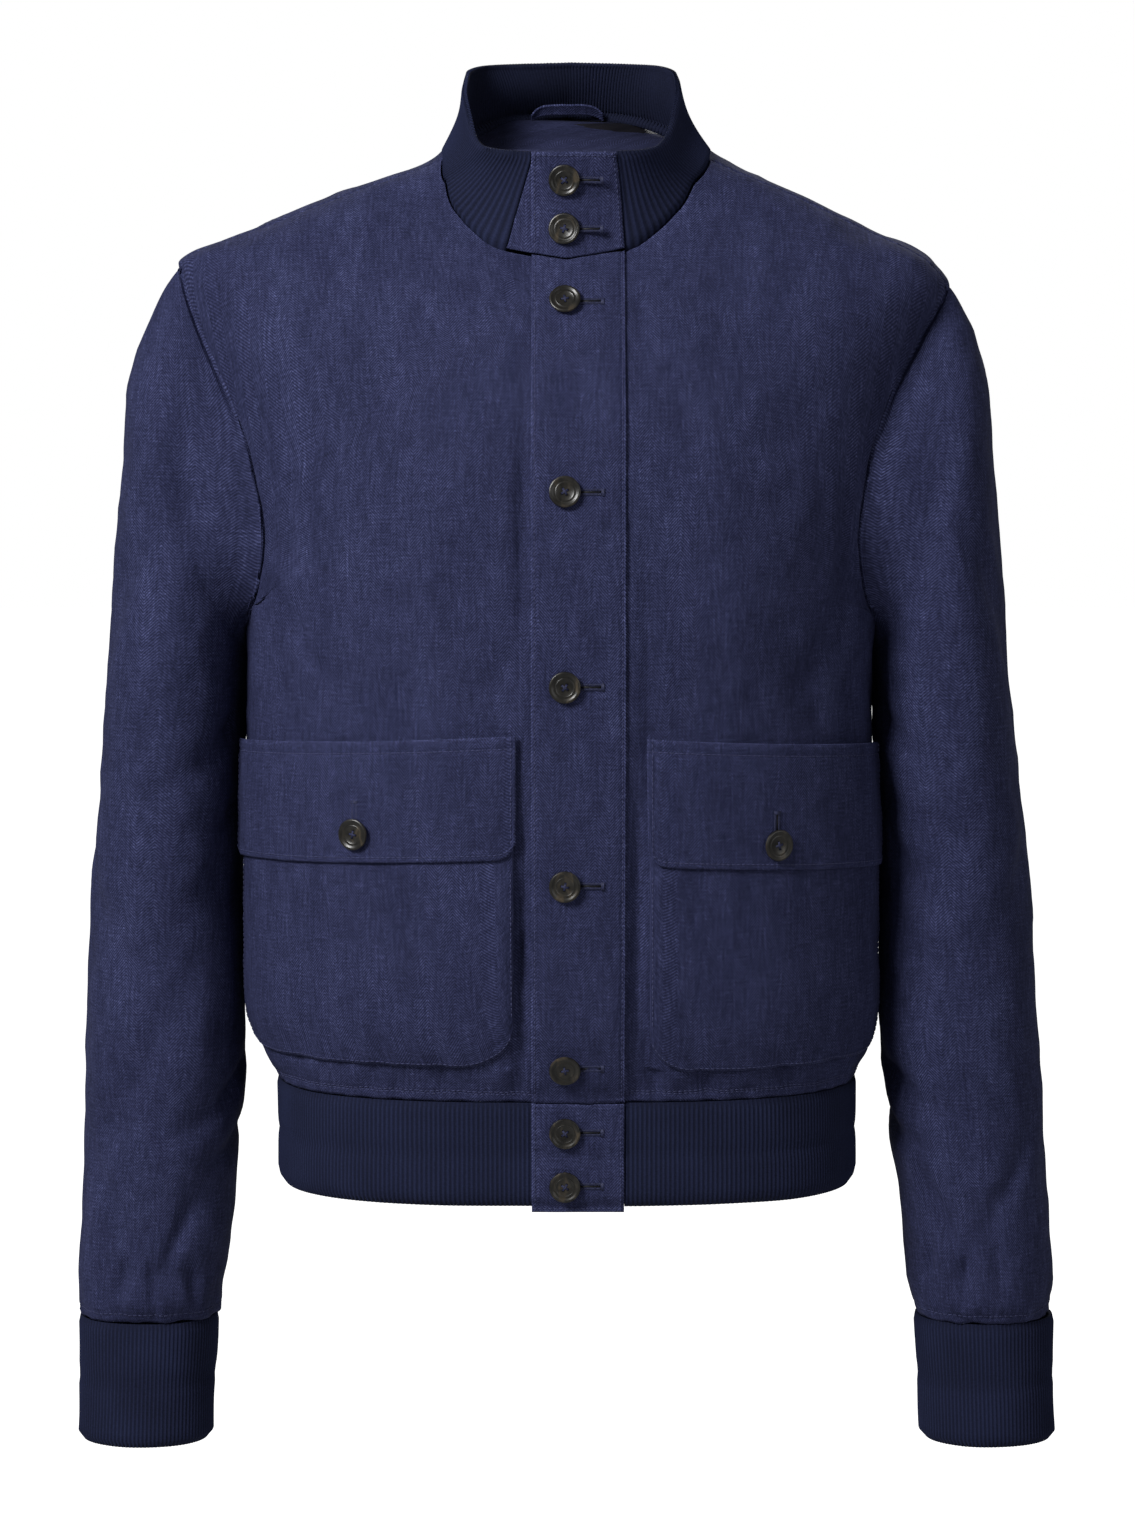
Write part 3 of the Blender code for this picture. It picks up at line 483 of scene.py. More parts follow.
def sleeve_head(side, turn, down):
    """The sleeve from the armhole, at down 0, to its first level section, at down 1."""
    sign = 1 if side == "left" else -1
    outer_x = sign * table_value(HEAD, "turn", side, down)
    outer = Vector((outer_x, 0, table_value(HEAD, "turn", "height", down)))
    inner_x = mix(plain_body(0, UNDERARM).x if side == "left" else plain_body(pi, UNDERARM).x,
                  sign * table_value(SLEEVE, "height", side + "_inner", PIVOT), down)
    inner = Vector((inner_x, 0, mix(UNDERARM - 0.002, PIVOT, down)))
    centre = (outer + inner) / 2 + Vector((0, 0.003 * down, 0))
    half = (outer - inner) / 2
    oval = ring_point(centre, half.normalized(), half.length, table_value(HEAD, "turn", "depth", down), turn)
    angle, height = armhole_point(side, turn)
    edge = body(angle, height)
    before = body(*armhole_point(side, turn - 0.02))
    after = body(*armhole_point(side, turn + 0.02))
    normal = outward(plain_body, angle, height)
    onward = (after - before).cross(normal).normalized()
    if onward.dot(centre - edge) < 0:
        onward = -onward
    share = min(down / 0.45, 1)
    share = share * share * (3 - 2 * share)
    blended = edge.lerp(oval, share)
    top = max(cos(turn), 0) ** 0.5
    leave = (onward * top + normal * (1 - top)).normalized()
    tuck = SLEEVE_TUCK * max(1 - down / 0.01, 0)
    near = edge + leave * (0.06 * down) - (onward * top + normal * (1 - top)) * tuck
    close = max(1 - down / 0.10, 0)
    if down == 0:
        return near
    return clear_of_body(blended.lerp(near, close), 0.0006 + 0.02 * min(down, 0.05))


def sleeve(side, turn, height):
    """The sleeve below its head, with its folds."""
    sign = 1 if side == "left" else -1

    def place(around, at):
        outer = table_value(SLEEVE, "height", side + "_outer", at)
        inner = table_value(SLEEVE, "height", side + "_inner", at)
        centre = Vector((sign * (outer + inner) / 2, table_value(SLEEVE, "height", "back", at), at))
        depth = table_value(SLEEVE, "height", "depth", at)
        return ring_point(centre, Vector((sign, 0, 0)), (outer - inner) / 2, depth, around)

    fold = fold_height(SLEEVE_FOLDS, turn, height, 0.055)
    out = (place(turn, height) - place(turn + pi, height)).normalized()
    return clear_of_body(place(turn, height) + out * fold, 0.0008)


def cuff(side, turn, height, out=0.0):
    sign = 1 if side == "left" else -1
    centre = Vector((sign * table_value(CUFF, "height", side, height), CUFF_BACK, height))
    width = table_value(CUFF, "height", "width", height) + out
    depth = table_value(CUFF, "height", "depth", height) + out
    return ring_point(centre, Vector((sign, 0, 0)), width, depth, turn)


def pocket_place(row, across, up, top, side_top, bottom, side_bottom, corner, layers):
    """A point of what lies on a front: across 0 is the placket's side and 1 the side seam's."""
    near = angle_at_x(row.centre_x, row.top)
    far = radians(row.side_angle)
    angle = mix(near, far, across)
    inset = min(across, 1 - across) * POCKET_WIDTH
    round_off = corner - sqrt(max(corner ** 2 - max(corner - inset, 0) ** 2, 0))
    low = mix(bottom, side_bottom, across) + round_off
    height = mix(low, mix(top, side_top, across), up)
    height = max(height, low)
    share_up = min(max((height - row.bottom) / (row.top - row.bottom), 0), 1)
    full = (1 - (2 * across - 1) ** 6) * (1 - (2 * share_up - 1) ** 6)
    return body(angle, height, POCKET_SEAT + LINEN_WALL + POCKET_AIR * full + layers * (LAYER + TAB_LIFT))


# Main creases of the fronts and the back, placed on the cloth by distance from the centre line and height.
CreaseRow = namedtuple("CreaseRow", "x height run width depth lean")
FRONT_CREASES = (
    CreaseRow(-0.0245, -0.210, 0.060, 0.0045, -0.0022, 1),
    CreaseRow(-0.0285, -0.075, 0.016, 0.0040, -0.0018, 32),
    CreaseRow(-0.0260, -0.455, 0.065, 0.0040, -0.0024, 1),
    CreaseRow(-0.0375, -0.470, 0.060, 0.0050, 0.0014, -2),
    CreaseRow(0.0385, -0.440, 0.085, 0.0042, -0.0026, 0),
    CreaseRow(0.0450, -0.300, 0.070, 0.0060, -0.0009, -2),
    CreaseRow(0.0480, -0.515, 0.022, 0.0050, -0.0018, -12),
    CreaseRow(0.0400, -0.095, 0.040, 0.0070, -0.0008, -8),
    CreaseRow(-0.1580, -0.265, 0.022, 0.0050, -0.0022, -24),
    CreaseRow(-0.1660, -0.245, 0.028, 0.0060, 0.0014, -16),
    CreaseRow(-0.1420, -0.292, 0.030, 0.0080, -0.0011, -38),
    CreaseRow(0.1560, -0.255, 0.026, 0.0060, -0.0018, 22),
    CreaseRow(0.1440, -0.285, 0.034, 0.0080, -0.0012, 36),
    CreaseRow(-0.1000, -0.120, 0.060, 0.0160, -0.0012, 52),
    CreaseRow(0.1080, -0.130, 0.070, 0.0160, -0.0012, -50),
    CreaseRow(-0.0700, -0.200, 0.080, 0.0180, 0.0010, 14),
    CreaseRow(0.0900, -0.210, 0.090, 0.0160, 0.0010, -10),
    CreaseRow(-0.1100, -0.520, 0.020, 0.0050, -0.0016, 18),
    CreaseRow(-0.0720, -0.524, 0.016, 0.0040, -0.0014, -10),
    CreaseRow(0.0760, -0.522, 0.018, 0.0045, -0.0016, -16),
    CreaseRow(0.1240, -0.520, 0.020, 0.0050, -0.0018, -22),
    CreaseRow(-0.1520, -0.500, 0.030, 0.0060, -0.0022, 10),
    CreaseRow(0.1500, -0.500, 0.034, 0.0060, -0.0024, -12),
)
BACK_CREASES = (
    CreaseRow(-0.1440, -0.250, 0.050, 0.0080, -0.0022, 26),
    CreaseRow(0.1400, -0.245, 0.056, 0.0080, -0.0022, -30),
    CreaseRow(-0.1200, -0.300, 0.060, 0.0100, 0.0016, 40),
    CreaseRow(0.1260, -0.310, 0.050, 0.0100, 0.0014, -44),
    CreaseRow(-0.0500, -0.400, 0.090, 0.0110, -0.0018, 12),
    CreaseRow(0.0320, -0.430, 0.080, 0.0100, -0.0020, -6),
    CreaseRow(0.0900, -0.450, 0.070, 0.0090, -0.0018, -14),
    CreaseRow(-0.1040, -0.470, 0.060, 0.0080, -0.0018, 8),
    CreaseRow(0.0000, -0.110, 0.090, 0.0160, -0.0014, 86),
    CreaseRow(-0.0700, -0.200, 0.070, 0.0140, 0.0012, 62),
    CreaseRow(0.0760, -0.190, 0.070, 0.0140, 0.0012, -58),
    CreaseRow(0.0160, -0.510, 0.030, 0.0050, -0.0018, 6),
    CreaseRow(-0.0300, -0.515, 0.026, 0.0050, -0.0016, -8),
    CreaseRow(0.0620, -0.510, 0.030, 0.0050, -0.0018, -4),
)
# Creases of a sleeve, by the turn round it from its outer edge and the height.
SLEEVE_CREASES = (
    FoldRow(62, -0.250, 0.060, 0.010, -0.0016, 28),
    FoldRow(100, -0.200, 0.070, 0.012, -0.0014, 12),
    FoldRow(140, -0.330, 0.045, 0.008, -0.0022, 52),
    FoldRow(158, -0.375, 0.040, 0.008, -0.0020, 66),
    FoldRow(120, -0.420, 0.035, 0.010, -0.0014, 40),
    FoldRow(40, -0.430, 0.050, 0.010, -0.0014, -36),
    FoldRow(84, -0.520, 0.060, 0.009, -0.0014, 24),
    FoldRow(150, -0.545, 0.036, 0.008, -0.0026, 58),
    FoldRow(165, -0.580, 0.032, 0.007, -0.0022, 74),
    FoldRow(60, -0.615, 0.036, 0.007, -0.0014, -30),
    FoldRow(110, -0.635, 0.026, 0.006, -0.0018, 20),
    FoldRow(70, -0.660, 0.014, 0.005, -0.0016, 14),
    FoldRow(95, -0.662, 0.016, 0.004, -0.0016, -12),
    FoldRow(128, -0.660, 0.015, 0.005, -0.0018, -20),
    FoldRow(205, -0.360, 0.050, 0.009, -0.0020, -48),
    FoldRow(230, -0.540, 0.050, 0.009, -0.0022, -40),
    FoldRow(300, -0.500, 0.060, 0.010, -0.0018, 30),
    FoldRow(260, -0.640, 0.022, 0.006, -0.0018, 10),
    FoldRow(320, -0.655, 0.018, 0.005, -0.0016, -12),
    FoldRow(20, -0.320, 0.070, 0.012, -0.0010, 8),
)


def crease_height(creases, x, height):
    """How far creases raise or sink the cloth at a distance from the centre line."""
    total = 0.0
    for crease in creases:
        side = x - crease.x
        up = height - crease.height
        if abs(side) > 0.12 or abs(up) > 0.25:
            continue
        total += CREASE_DEPTH * crease.depth * dent(crease, side, up)
    return total


def uneven(place, scale, seed):
    """Smooth unevenness from -1 to 1 over a scale in metres."""
    return noise.noise(place / scale + Vector((seed * 7.3, seed * 3.1, seed)))


def crumple(place, seed):
    """Soft unevenness that linen keeps between its main creases."""
    broad = uneven(place, 0.055, seed)
    fine = uneven(place, 0.019, seed + 5)
    sharp = 1 - abs(uneven(place, 0.030, seed + 9)) * 2
    return 0.00210 * broad + 0.00085 * fine + 0.00105 * sharp


def pucker(along, off_edge, seed, reach=0.006, depth=0.00050):
    """Ripples that a row of sewing draws into the cloth beside it."""
    ripple = noise.noise(Vector((along / 0.0042, seed * 5.7, 0.0)))
    slow = noise.noise(Vector((along / 0.0160, seed * 2.9, 4.0)))
    return (0.7 * ripple + 0.6 * slow) * depth * exp(-((off_edge / reach) ** 2))


def turned_edge(off_edge, depth=0.0009, reach=0.0011):
    """The roll of a sewn or folded edge, which sinks into the seam."""
    return -depth * exp(-((off_edge / reach) ** 2))


def gathers(along, off_edge, seed, reach=0.022, depth=0.0016):
    """Small uneven folds above a rib band that draws the cloth in."""
    wave = noise.noise(Vector((along / 0.0095, off_edge / 0.060, seed * 3.3)))
    return depth * wave * exp(-off_edge / reach)


Sheet = namedtuple("Sheet", "obj points normals u v rows columns")


def denser_ends(share, pull):
    """Moves evenly spaced shares towards 0 and 1."""
    return share - pull * sin(2 * pi * share) / (2 * pi)


def cloth(name, place, rows, columns, relief, material, wall=SHELL_WALL, anchor=None, crest=None,
          pull_across=0.0, pull_up=0.0, closed=False, wear=0.0011, grain_at=None):
    """A shell of cloth from place(across, up), raised by relief(point, u, v, edges), with its grain's UV map.

    edges holds a point's distances from the cloth's first and last column and its foot and top."""
    bm = bmesh.new()
    grain = bm.loops.layers.uv.new("Grain")
    worn = bm.verts.layers.float.new("worn")
    # Each rib's height across it, kept for the rib material, which turns it into painted shade between the
    # ribs and a painted highlight on their tops.
    rib_shade_layer = bm.verts.layers.float.new("crest") if crest else None
    bmesh.ops.create_grid(bm, x_segments=columns, y_segments=rows, size=0.5)
    bm.verts.ensure_lookup_table()
    grid = [[None] * (columns + 1) for _ in range(rows + 1)]
    for vert in bm.verts:
        grid[round((vert.co.y + 0.5) * rows)][round((vert.co.x + 0.5) * columns)] = vert
    for i, row in enumerate(grid):
        up = denser_ends(i / rows, pull_up)
        for j, vert in enumerate(row):
            vert.co = place(denser_ends(j / columns, pull_across), up)
    u = [[0.0] * (columns + 1) for _ in grid]
    v = [[0.0] * (columns + 1) for _ in grid]
    for i, row in enumerate(grid):
        for j in range(1, columns + 1):
            step = row[j].co - row[j - 1].co
            u[i][j] = u[i][j - 1] + hypot(step.x, step.y)
        if anchor is not None:
            still = round(anchor * columns)
            shift = row[still].co.x - u[i][still]
            u[i] = [place_u + shift for place_u in u[i]]
    for i in range(1, rows + 1):
        for j in range(columns + 1):
            step = grid[i][j].co - grid[i - 1][j].co
            v[i][j] = v[i - 1][j] + hypot(step.z, step.y)
    bm.normal_update()
    moved = []
    for i, row in enumerate(grid):
        for j, vert in enumerate(row):
            edges = (u[i][j] - u[i][0], u[i][-1] - u[i][j], v[i][j], v[-1][j] - v[i][j])
            lift = relief(vert.co, u[i][j], v[i][j], edges)
            near = min(edges[0], edges[1], edges[2], edges[3]) if not closed else min(edges[2:])
            normal = vert.normal
            if closed and j in (0, columns):
                normal = (row[0].normal + row[-1].normal).normalized()
            moved.append((vert, vert.co + normal * lift))
            vert[worn] = exp(-near / wear)
            if crest:
                vert[rib_shade_layer] = crest(j / columns)
    places = {}
    for i, row in enumerate(grid):
        for j, vert in enumerate(row):
            places[vert.index] = grain_at(vert.co, j / columns) if grain_at else (u[i][j], v[i][j])
    for face in bm.faces:
        for loop in face.loops:
            loop[grain].uv = places[loop.vert.index]
    for vert, point in moved:
        vert.co = point
    bm.normal_update()
    points = [[vert.co.copy() for vert in row] for row in grid]
    normals = [[vert.normal.copy() for vert in row] for row in grid]
    if closed:
        for line in normals:
            line[0] = line[-1] = (line[0] + line[-1]).normalized()
        bmesh.ops.remove_doubles(bm, verts=bm.verts, dist=1e-6)
    obj = add_mesh(name, bm, material)
    if wall:
        solid = obj.modifiers.new("Wall", "SOLIDIFY")
        solid.thickness = wall
        solid.offset = -1
    return Sheet(obj, points, normals, u, v, rows, columns)


def add_mesh(name, bm, material):
    """Makes a bmesh an object that rides on the root body."""
    mesh = bpy.data.meshes.new(name)
    bm.to_mesh(mesh)
    bm.free()
    mesh.shade_smooth()
    obj = bpy.data.objects.new(name, mesh)
    obj.data.materials.append(material)
    bpy.context.scene.collection.objects.link(obj)
    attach(obj, "root")
    return obj


def line_at(sheet, edge, inset, start=0.0, end=1.0):
    """Points and normals of a line on a sheet at a distance from one of its edges."""
    along_rows = edge in ("first", "last")
    lines = sheet.rows if along_rows else sheet.columns
    found = []
    for k in range(ceil(start * lines), int(end * lines) + 1):
        if along_rows:
            run = [sheet.u[k][j] for j in range(sheet.columns + 1)]
            cells = [(k, j) for j in range(sheet.columns + 1)]
        else:
            run = [sheet.v[i][k] for i in range(sheet.rows + 1)]
            cells = [(i, k) for i in range(sheet.rows + 1)]
        target = run[0] + inset if edge in ("first", "foot") else run[-1] - inset
        after = min(max(bisect_right(run, target), 1), len(run) - 1)
        share = min(max((target - run[after - 1]) / max(run[after] - run[after - 1], 1e-9), 0), 1)
        (a, b), (c, d) = cells[after - 1], cells[after]
        point = sheet.points[a][b].lerp(sheet.points[c][d], share)
        found.append((point, sheet.normals[a][b].lerp(sheet.normals[c][d], share).normalized()))
    return found


def resample(line, step):
    """Points, normals and directions at even steps along a line of points and normals."""
    out = []
    left = step / 2
    for (a, na), (b, nb) in zip(line, line[1:]):
        length = (b - a).length
        if length < 1e-9:
            continue
        while left <= length:
            share = left / length
            out.append((a.lerp(b, share), na.lerp(nb, share).normalized(), (b - a).normalized()))
            left += step
        left -= length
    return out


def sew(name, lines, material, pitch=0.0031, length=0.0023, radius=0.00028, rise=0.00006):
    """Rows of stitches: each is a short straight thread, half sunk into the cloth."""
    bm = bmesh.new()
    for line in lines:
        for point, normal, along in resample(line, pitch):
            side = normal.cross(along).normalized()
            frame_of = Matrix((side, along, normal)).transposed().to_4x4()
            made = bmesh.ops.create_cone(
                bm, segments=5, radius1=radius, radius2=radius, depth=length, cap_ends=True,
                matrix=Matrix.Rotation(radians(90), 4, "X"),
            )
            seat = Matrix.Translation(point + normal * rise) @ frame_of
            bmesh.ops.transform(bm, matrix=seat, verts=made["verts"])
    return add_mesh(name, bm, material)


def linear(hex_colour):
    """An sRGB hex colour as the linear colour that a shader takes."""
    parts = [int(hex_colour[k:k + 2], 16) / 255 for k in (1, 3, 5)]
    return tuple(p / 12.92 if p <= 0.04045 else ((p + 0.055) / 1.055) ** 2.4 for p in parts)


def add_node(tree, kind, settings=None, **links):
    """Adds a node with its settings, and its inputs by name or number as values or other nodes' outputs."""
    node = tree.nodes.new(kind)
    for key, value in (settings or {}).items():
        setattr(node, key, value)
    for key, value in links.items():
        socket = node.inputs[int(key[1:]) if key[0] == "_" else key.replace("_", " ")]
        if isinstance(value, bpy.types.NodeSocket):
            tree.links.new(value, socket)
        else:
            socket.default_value = value
    return node


def new_material(name, roughness, **sockets):
    """A material with a Principled BSDF whose constant values are on its own sockets."""
    made = bpy.data.materials.new(name)
    made.use_nodes = True
    shader = made.node_tree.nodes["Principled BSDF"]
    shader.inputs["Roughness"].default_value = roughness
    for key, value in sockets.items():
        shader.inputs[key.replace("_", " ")].default_value = value
    return made, made.node_tree, shader


def colour_steps(tree, factor, *stops):
    """A colour ramp over (place, hex colour) stops."""
    ramp = add_node(tree, "ShaderNodeValToRGB", _0=factor)
    band = ramp.color_ramp
    for place, _ in stops[2:]:
        band.elements.new(place)
    for element, (place, colour) in zip(band.elements, sorted(stops)):
        element.position = place
        element.color = (*linear(colour), 1)
    return ramp.outputs["Color"]


def maths(tree, operation, *values):
    links = {f"_{k}": value for k, value in enumerate(values)}
    return add_node(tree, "ShaderNodeMath", {"operation": operation}, **links).outputs[0]


def cloudy(tree, place, scale, detail, **more):
    """The output of a noise texture over places, at one scale or at a scale along each axis."""
    if isinstance(scale, tuple):
        turned = {"Rotation": more.pop("Rotation")} if "Rotation" in more else {}
        place = add_node(tree, "ShaderNodeMapping", Vector=place, Scale=scale, **turned).outputs[0]
        scale = 1.0
    made = add_node(tree, "ShaderNodeTexNoise", Vector=place, Scale=scale, Detail=detail, **more)
    return made.outputs["Fac"]


def grain_map(tree):
    return add_node(tree, "ShaderNodeUVMap", {"uv_map": "Grain"}).outputs["UV"]


def attribute(tree, name):
    return add_node(tree, "ShaderNodeAttribute", {"attribute_name": name}).outputs["Fac"]


def dressed(made, colour, strength, distance, height):
    """The material, with its colour and with bumps of a height."""
    tree = made.node_tree
    shader = tree.nodes["Principled BSDF"]
    tree.links.new(colour, shader.inputs["Base Color"])
    bump = add_node(tree, "ShaderNodeBump", Strength=strength, Distance=distance, Height=height)
    tree.links.new(bump.outputs["Normal"], shader.inputs["Normal"])
    return made


def herringbone_linen(settings):
    """Yarn-dyed linen woven as a herringbone: matt, with thick and thin threads and paler worn edges."""
    made, tree, shader = new_material(
        "Navy herringbone linen", 0.86, Specular_IOR_Level=0.12, Sheen_Weight=0.04, Sheen_Roughness=0.45,
        Sheen_Tint=(*linear("#5c6190"), 1),
    )
    grain = grain_map(tree)
    wander = add_node(tree, "ShaderNodeTexNoise", Vector=grain, Scale=45.0, Detail=1.0)
    wave = add_node(tree, "ShaderNodeVectorMath", {"operation": "MULTIPLY_ADD"}, _0=wander.outputs["Color"],
                    _1=(0.0010, 0.0006, 0.0), _2=grain).outputs[0]
    split = add_node(tree, "ShaderNodeSeparateXYZ", Vector=wave)
    width = settings.chevron_width
    zigzag = maths(tree, "PINGPONG", split.outputs["X"], width)
    slant = maths(tree, "MULTIPLY_ADD", zigzag, 1.15, split.outputs["Y"])
    twill = maths(tree, "SINE", maths(tree, "MULTIPLY", slant, 2 * pi / settings.twill_pitch))
    # Slubs: thick and thin stretches of the upright and the level threads.
    warp = cloudy(tree, grain, (620.0, 70.0, 1.0), 2.0)
    weft = cloudy(tree, grain, (80.0, 760.0, 1.0), 2.0)
    # Fading: broad uneven bands that run down the cloth, and small flecks.
    faded = cloudy(tree, grain, (52.0, 14.0, 1.0), 3.0, Roughness=0.6)
    flecks = cloudy(tree, grain, 700.0, 2.0, Roughness=0.7)
    tone = maths(tree, "MULTIPLY", twill, maths(tree, "MULTIPLY_ADD", faded, 0.16, 0.02))
    for part, weight in ((warp, 0.34), (weft, 0.26), (flecks, 0.50), (faded, 0.24)):
        tone = maths(tree, "MULTIPLY_ADD", part, weight, tone)
    edge_wear = maths(tree, "MULTIPLY", attribute(tree, "worn"), maths(tree, "MULTIPLY", flecks, 0.16))
    tone = maths(tree, "ADD", tone, edge_wear)
    colour = colour_steps(tree, tone, (0.46, settings.linen_deep), (0.66, settings.linen_mid),
                          (0.84, settings.linen_pale), (1.0, settings.linen_fleck))
    thread = maths(tree, "MULTIPLY_ADD", flecks, 1.1, maths(tree, "MULTIPLY", twill, 0.35))
    return dressed(made, colour, 0.55, 0.00030, maths(tree, "MULTIPLY_ADD", warp, 0.8, thread))


def rib_yarn(settings):
    """Combed cotton knitted in ribs: fine, dense and matt, with painted shade between its ribs and a lighter
    painted top on each rib.
    """
    made, tree, shader = new_material(
        "Dark navy rib knit", 0.88, Specular_IOR_Level=0.10, Sheen_Weight=0.04, Sheen_Roughness=0.5,
        Sheen_Tint=(*linear("#3a4270"), 1),
    )
    grain = grain_map(tree)
    yarn = cloudy(tree, grain, (500.0, 1300.0, 1.0), 2.0)
    # Painted shade and highlight: the rib's height across it darkens the tone between the ribs and lightens
    # it on their tops.
    tone = maths(tree, "MULTIPLY_ADD", yarn, 0.45, maths(tree, "MULTIPLY", attribute(tree, "crest"), 0.42))
    tone = maths(tree, "MULTIPLY_ADD", cloudy(tree, grain, 26.0, 2.0), 0.30, tone)
    colour = colour_steps(tree, tone, (0.20, settings.rib_deep), (0.62, settings.rib_mid),
                          (0.95, settings.rib_pale))
    return dressed(made, colour, 0.5, 0.00025, yarn)


def lining_twill(settings):
    """Viscose twill: a smooth, dark inside with a soft shine along its fine diagonal."""
    made, tree, shader = new_material("Dark lining twill", 0.50, Specular_IOR_Level=0.25)
    grain = grain_map(tree)
    split = add_node(tree, "ShaderNodeSeparateXYZ", Vector=grain)
    slant = maths(tree, "ADD", split.outputs["X"], split.outputs["Y"])
    twill = maths(tree, "SINE", maths(tree, "MULTIPLY", slant, 2 * pi / 0.0014))
    tone = maths(tree, "MULTIPLY_ADD", twill, 0.08, cloudy(tree, grain, 60.0, 3.0))
    colour = colour_steps(tree, tone, (0.3, settings.lining_deep), (0.7, settings.lining_pale))
    return dressed(made, colour, 0.25, 0.00015, twill)


def polished_horn(settings):
    """Turned and polished buffalo horn: near black with warm streaks, glossy on its rim."""
    made, tree, shader = new_material(
        "Dark polished horn", 0.34, Specular_IOR_Level=0.35, Coat_Weight=0.12, Coat_Roughness=0.2,
    )
    place = add_node(tree, "ShaderNodeTexCoord").outputs["Object"]
    streak = cloudy(tree, place, (150.0, 60.0, 70.0), 4.0, Rotation=(0.2, 0.0, 0.7), Distortion=1.2)
    colour = colour_steps(tree, streak, (0.36, settings.horn_deep), (0.54, settings.horn_mid),
                          (0.72, settings.horn_pale))
    return dressed(made, colour, 0.15, 0.00010, cloudy(tree, place, 1800.0, 2.0))


def sewing_thread(name, colour, second):
    """Spun polyester thread: a soft, fine twist a little paler than the cloth."""
    made, tree, shader = new_material(name, 0.6, Specular_IOR_Level=0.3)
    place = add_node(tree, "ShaderNodeTexCoord").outputs["Object"]
    twist = cloudy(tree, place, 1500.0, 2.0)
    tree.links.new(colour_steps(tree, twist, (0.35, colour), (0.65, second)), shader.inputs["Base Color"])
    return made


def pale_ground():
    """Matt white paper under and round the garment."""
    made, tree, shader = new_material("Matt white ground", 1.0, Specular_IOR_Level=0.0,
                                      Base_Color=(0.4, 0.4, 0.4, 1), Emission_Color=(1.0, 1.0, 1.0, 1))
    seen = add_node(tree, "ShaderNodeLightPath").outputs["Is Camera Ray"]
    tree.links.new(maths(tree, "MULTIPLY", seen, GROUND_GLOW), shader.inputs["Emission Strength"])
    return made


@lru_cache(maxsize=None)
def material_named(kind):
    """The material of a kind, made the first time that a piece asks for it."""
    settings = bpy.context.scene.jacket_look
    makers = {
        "linen": lambda: herringbone_linen(settings),
        "rib": lambda: rib_yarn(settings),
        "lining": lambda: lining_twill(settings),
        "horn": lambda: polished_horn(settings),
        "thread": lambda: sewing_thread("Navy sewing thread", settings.thread_pale, "#2a2d4a"),
        "buttonhole": lambda: sewing_thread("Dark buttonhole thread", "#191c33", "#2c3050"),
        "slit": lambda: sewing_thread("Shadow inside a buttonhole", "#07080d", "#0b0c14"),
    # Near black thread colours used as painted shadow inside each buttonhole's cut.
    }
    return makers[kind]()


def front_damping(x, height):
    """How freely a front's folds stand: they lie flat under the placket and the pockets."""
    free = 1.0
    if x > PLACKET_RIGHT - 0.004:
        free = 0.25 + 0.75 * min(max((PLACKET_RIGHT - x) / 0.004, 0), 1) if x < PLACKET_LEFT else 1.0
    for row in POCKETS:
        near_x = abs(row.centre_x)
        inside = x < -near_x if row.side == "right" else x > near_x
        if inside and row.bottom < height < row.top + 0.003:
            free = min(free, 0.40)
    return free


def front_relief(point, free=None):
    """Folds and unevenness of the fronts and of what lies on them."""
    free = front_damping(point.x, point.z) if free is None else free
    return free * (crease_height(FRONT_CREASES, point.x, point.z) + crumple(point, 1))


def calm(edges):
    """How freely folds stand near seams, which hold the cloth where its neighbour is."""
    return min(edges[0] / 0.012, edges[1] / 0.012, edges[2] / 0.010, edges[3] / 0.020, 1)


def hem_seam(along, off_foot, seed):
    """What the sewing above a rib band does to linen: gathers, two puckered rows and a sunk edge."""
    return (
        gathers(along, off_foot, seed)
        + pucker(along, off_foot - 0.0056, seed, 0.004, 0.0006)
        - 0.0004 * exp(-((off_foot - 0.0056) / 0.0012) ** 2)
        + turned_edge(off_foot, 0.0010, 0.0012)
    )


def left_front():
    def place(across, up):
        near = centre_edge("left", "front", up, PLACKET_LEFT)
        far = edge_of_panel("left", "front", up)
        return body(mix(near[0], far[0], across), mix(near[1], far[1], across))

    def relief(point, u, v, edges):
        return (
            calm(edges) * front_relief(point) + hem_seam(u, edges[2], 3)
            + pucker(v, edges[1], 4, 0.009, 0.0007)
            + turned_edge(edges[1], 0.0004) + turned_edge(edges[3]) + pucker(u, edges[3], 6, 0.008, 0.0004)
        )

    sheet = cloth("left_front_linen", place, 190, 104, relief, material_named("linen"), anchor=0,
                  pull_across=0.7, pull_up=0.6)
    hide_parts("left_front")
    return sheet


def right_front():
    def place(across, up):
        near = centre_edge("right", "front", up, UNDERLAP, UNDERLAP_ROWS)
        far = edge_of_panel("right", "front", up)
        return body(mix(far[0], near[0], across), mix(far[1], near[1], across))

    def relief(point, u, v, edges):
        return (
            calm(edges) * front_relief(point) + hem_seam(u, edges[2], 13) * front_damping(point.x, HEM_TOP)
            + pucker(v, edges[0], 14, 0.009, 0.0007)
            + turned_edge(edges[0], 0.0004) + turned_edge(edges[3]) + pucker(u, edges[3], 16, 0.008, 0.0004)
        )

    sheet = cloth("right_front_linen", place, 190, 124, relief, material_named("linen"), anchor=1,
                  pull_across=0.7, pull_up=0.6)
    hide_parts("right_front")
    return sheet


def back_point(across, up, out=0.0):
    """A point of the back, from the wearer's left side at 0 to the right at 1."""
    side = "left" if across < 0.5 else "right"
    near = centre_edge(side, "back", up, 0)
    far = edge_of_panel(side, "back", up)
    share = 1 - 2 * across if side == "left" else 2 * across - 1
    return body(mix(near[0], far[0], share), mix(near[1], far[1], share), out)


def back_relief(point):
    return crease_height(BACK_CREASES, point.x, point.z) + 1.2 * crumple(point, 21)


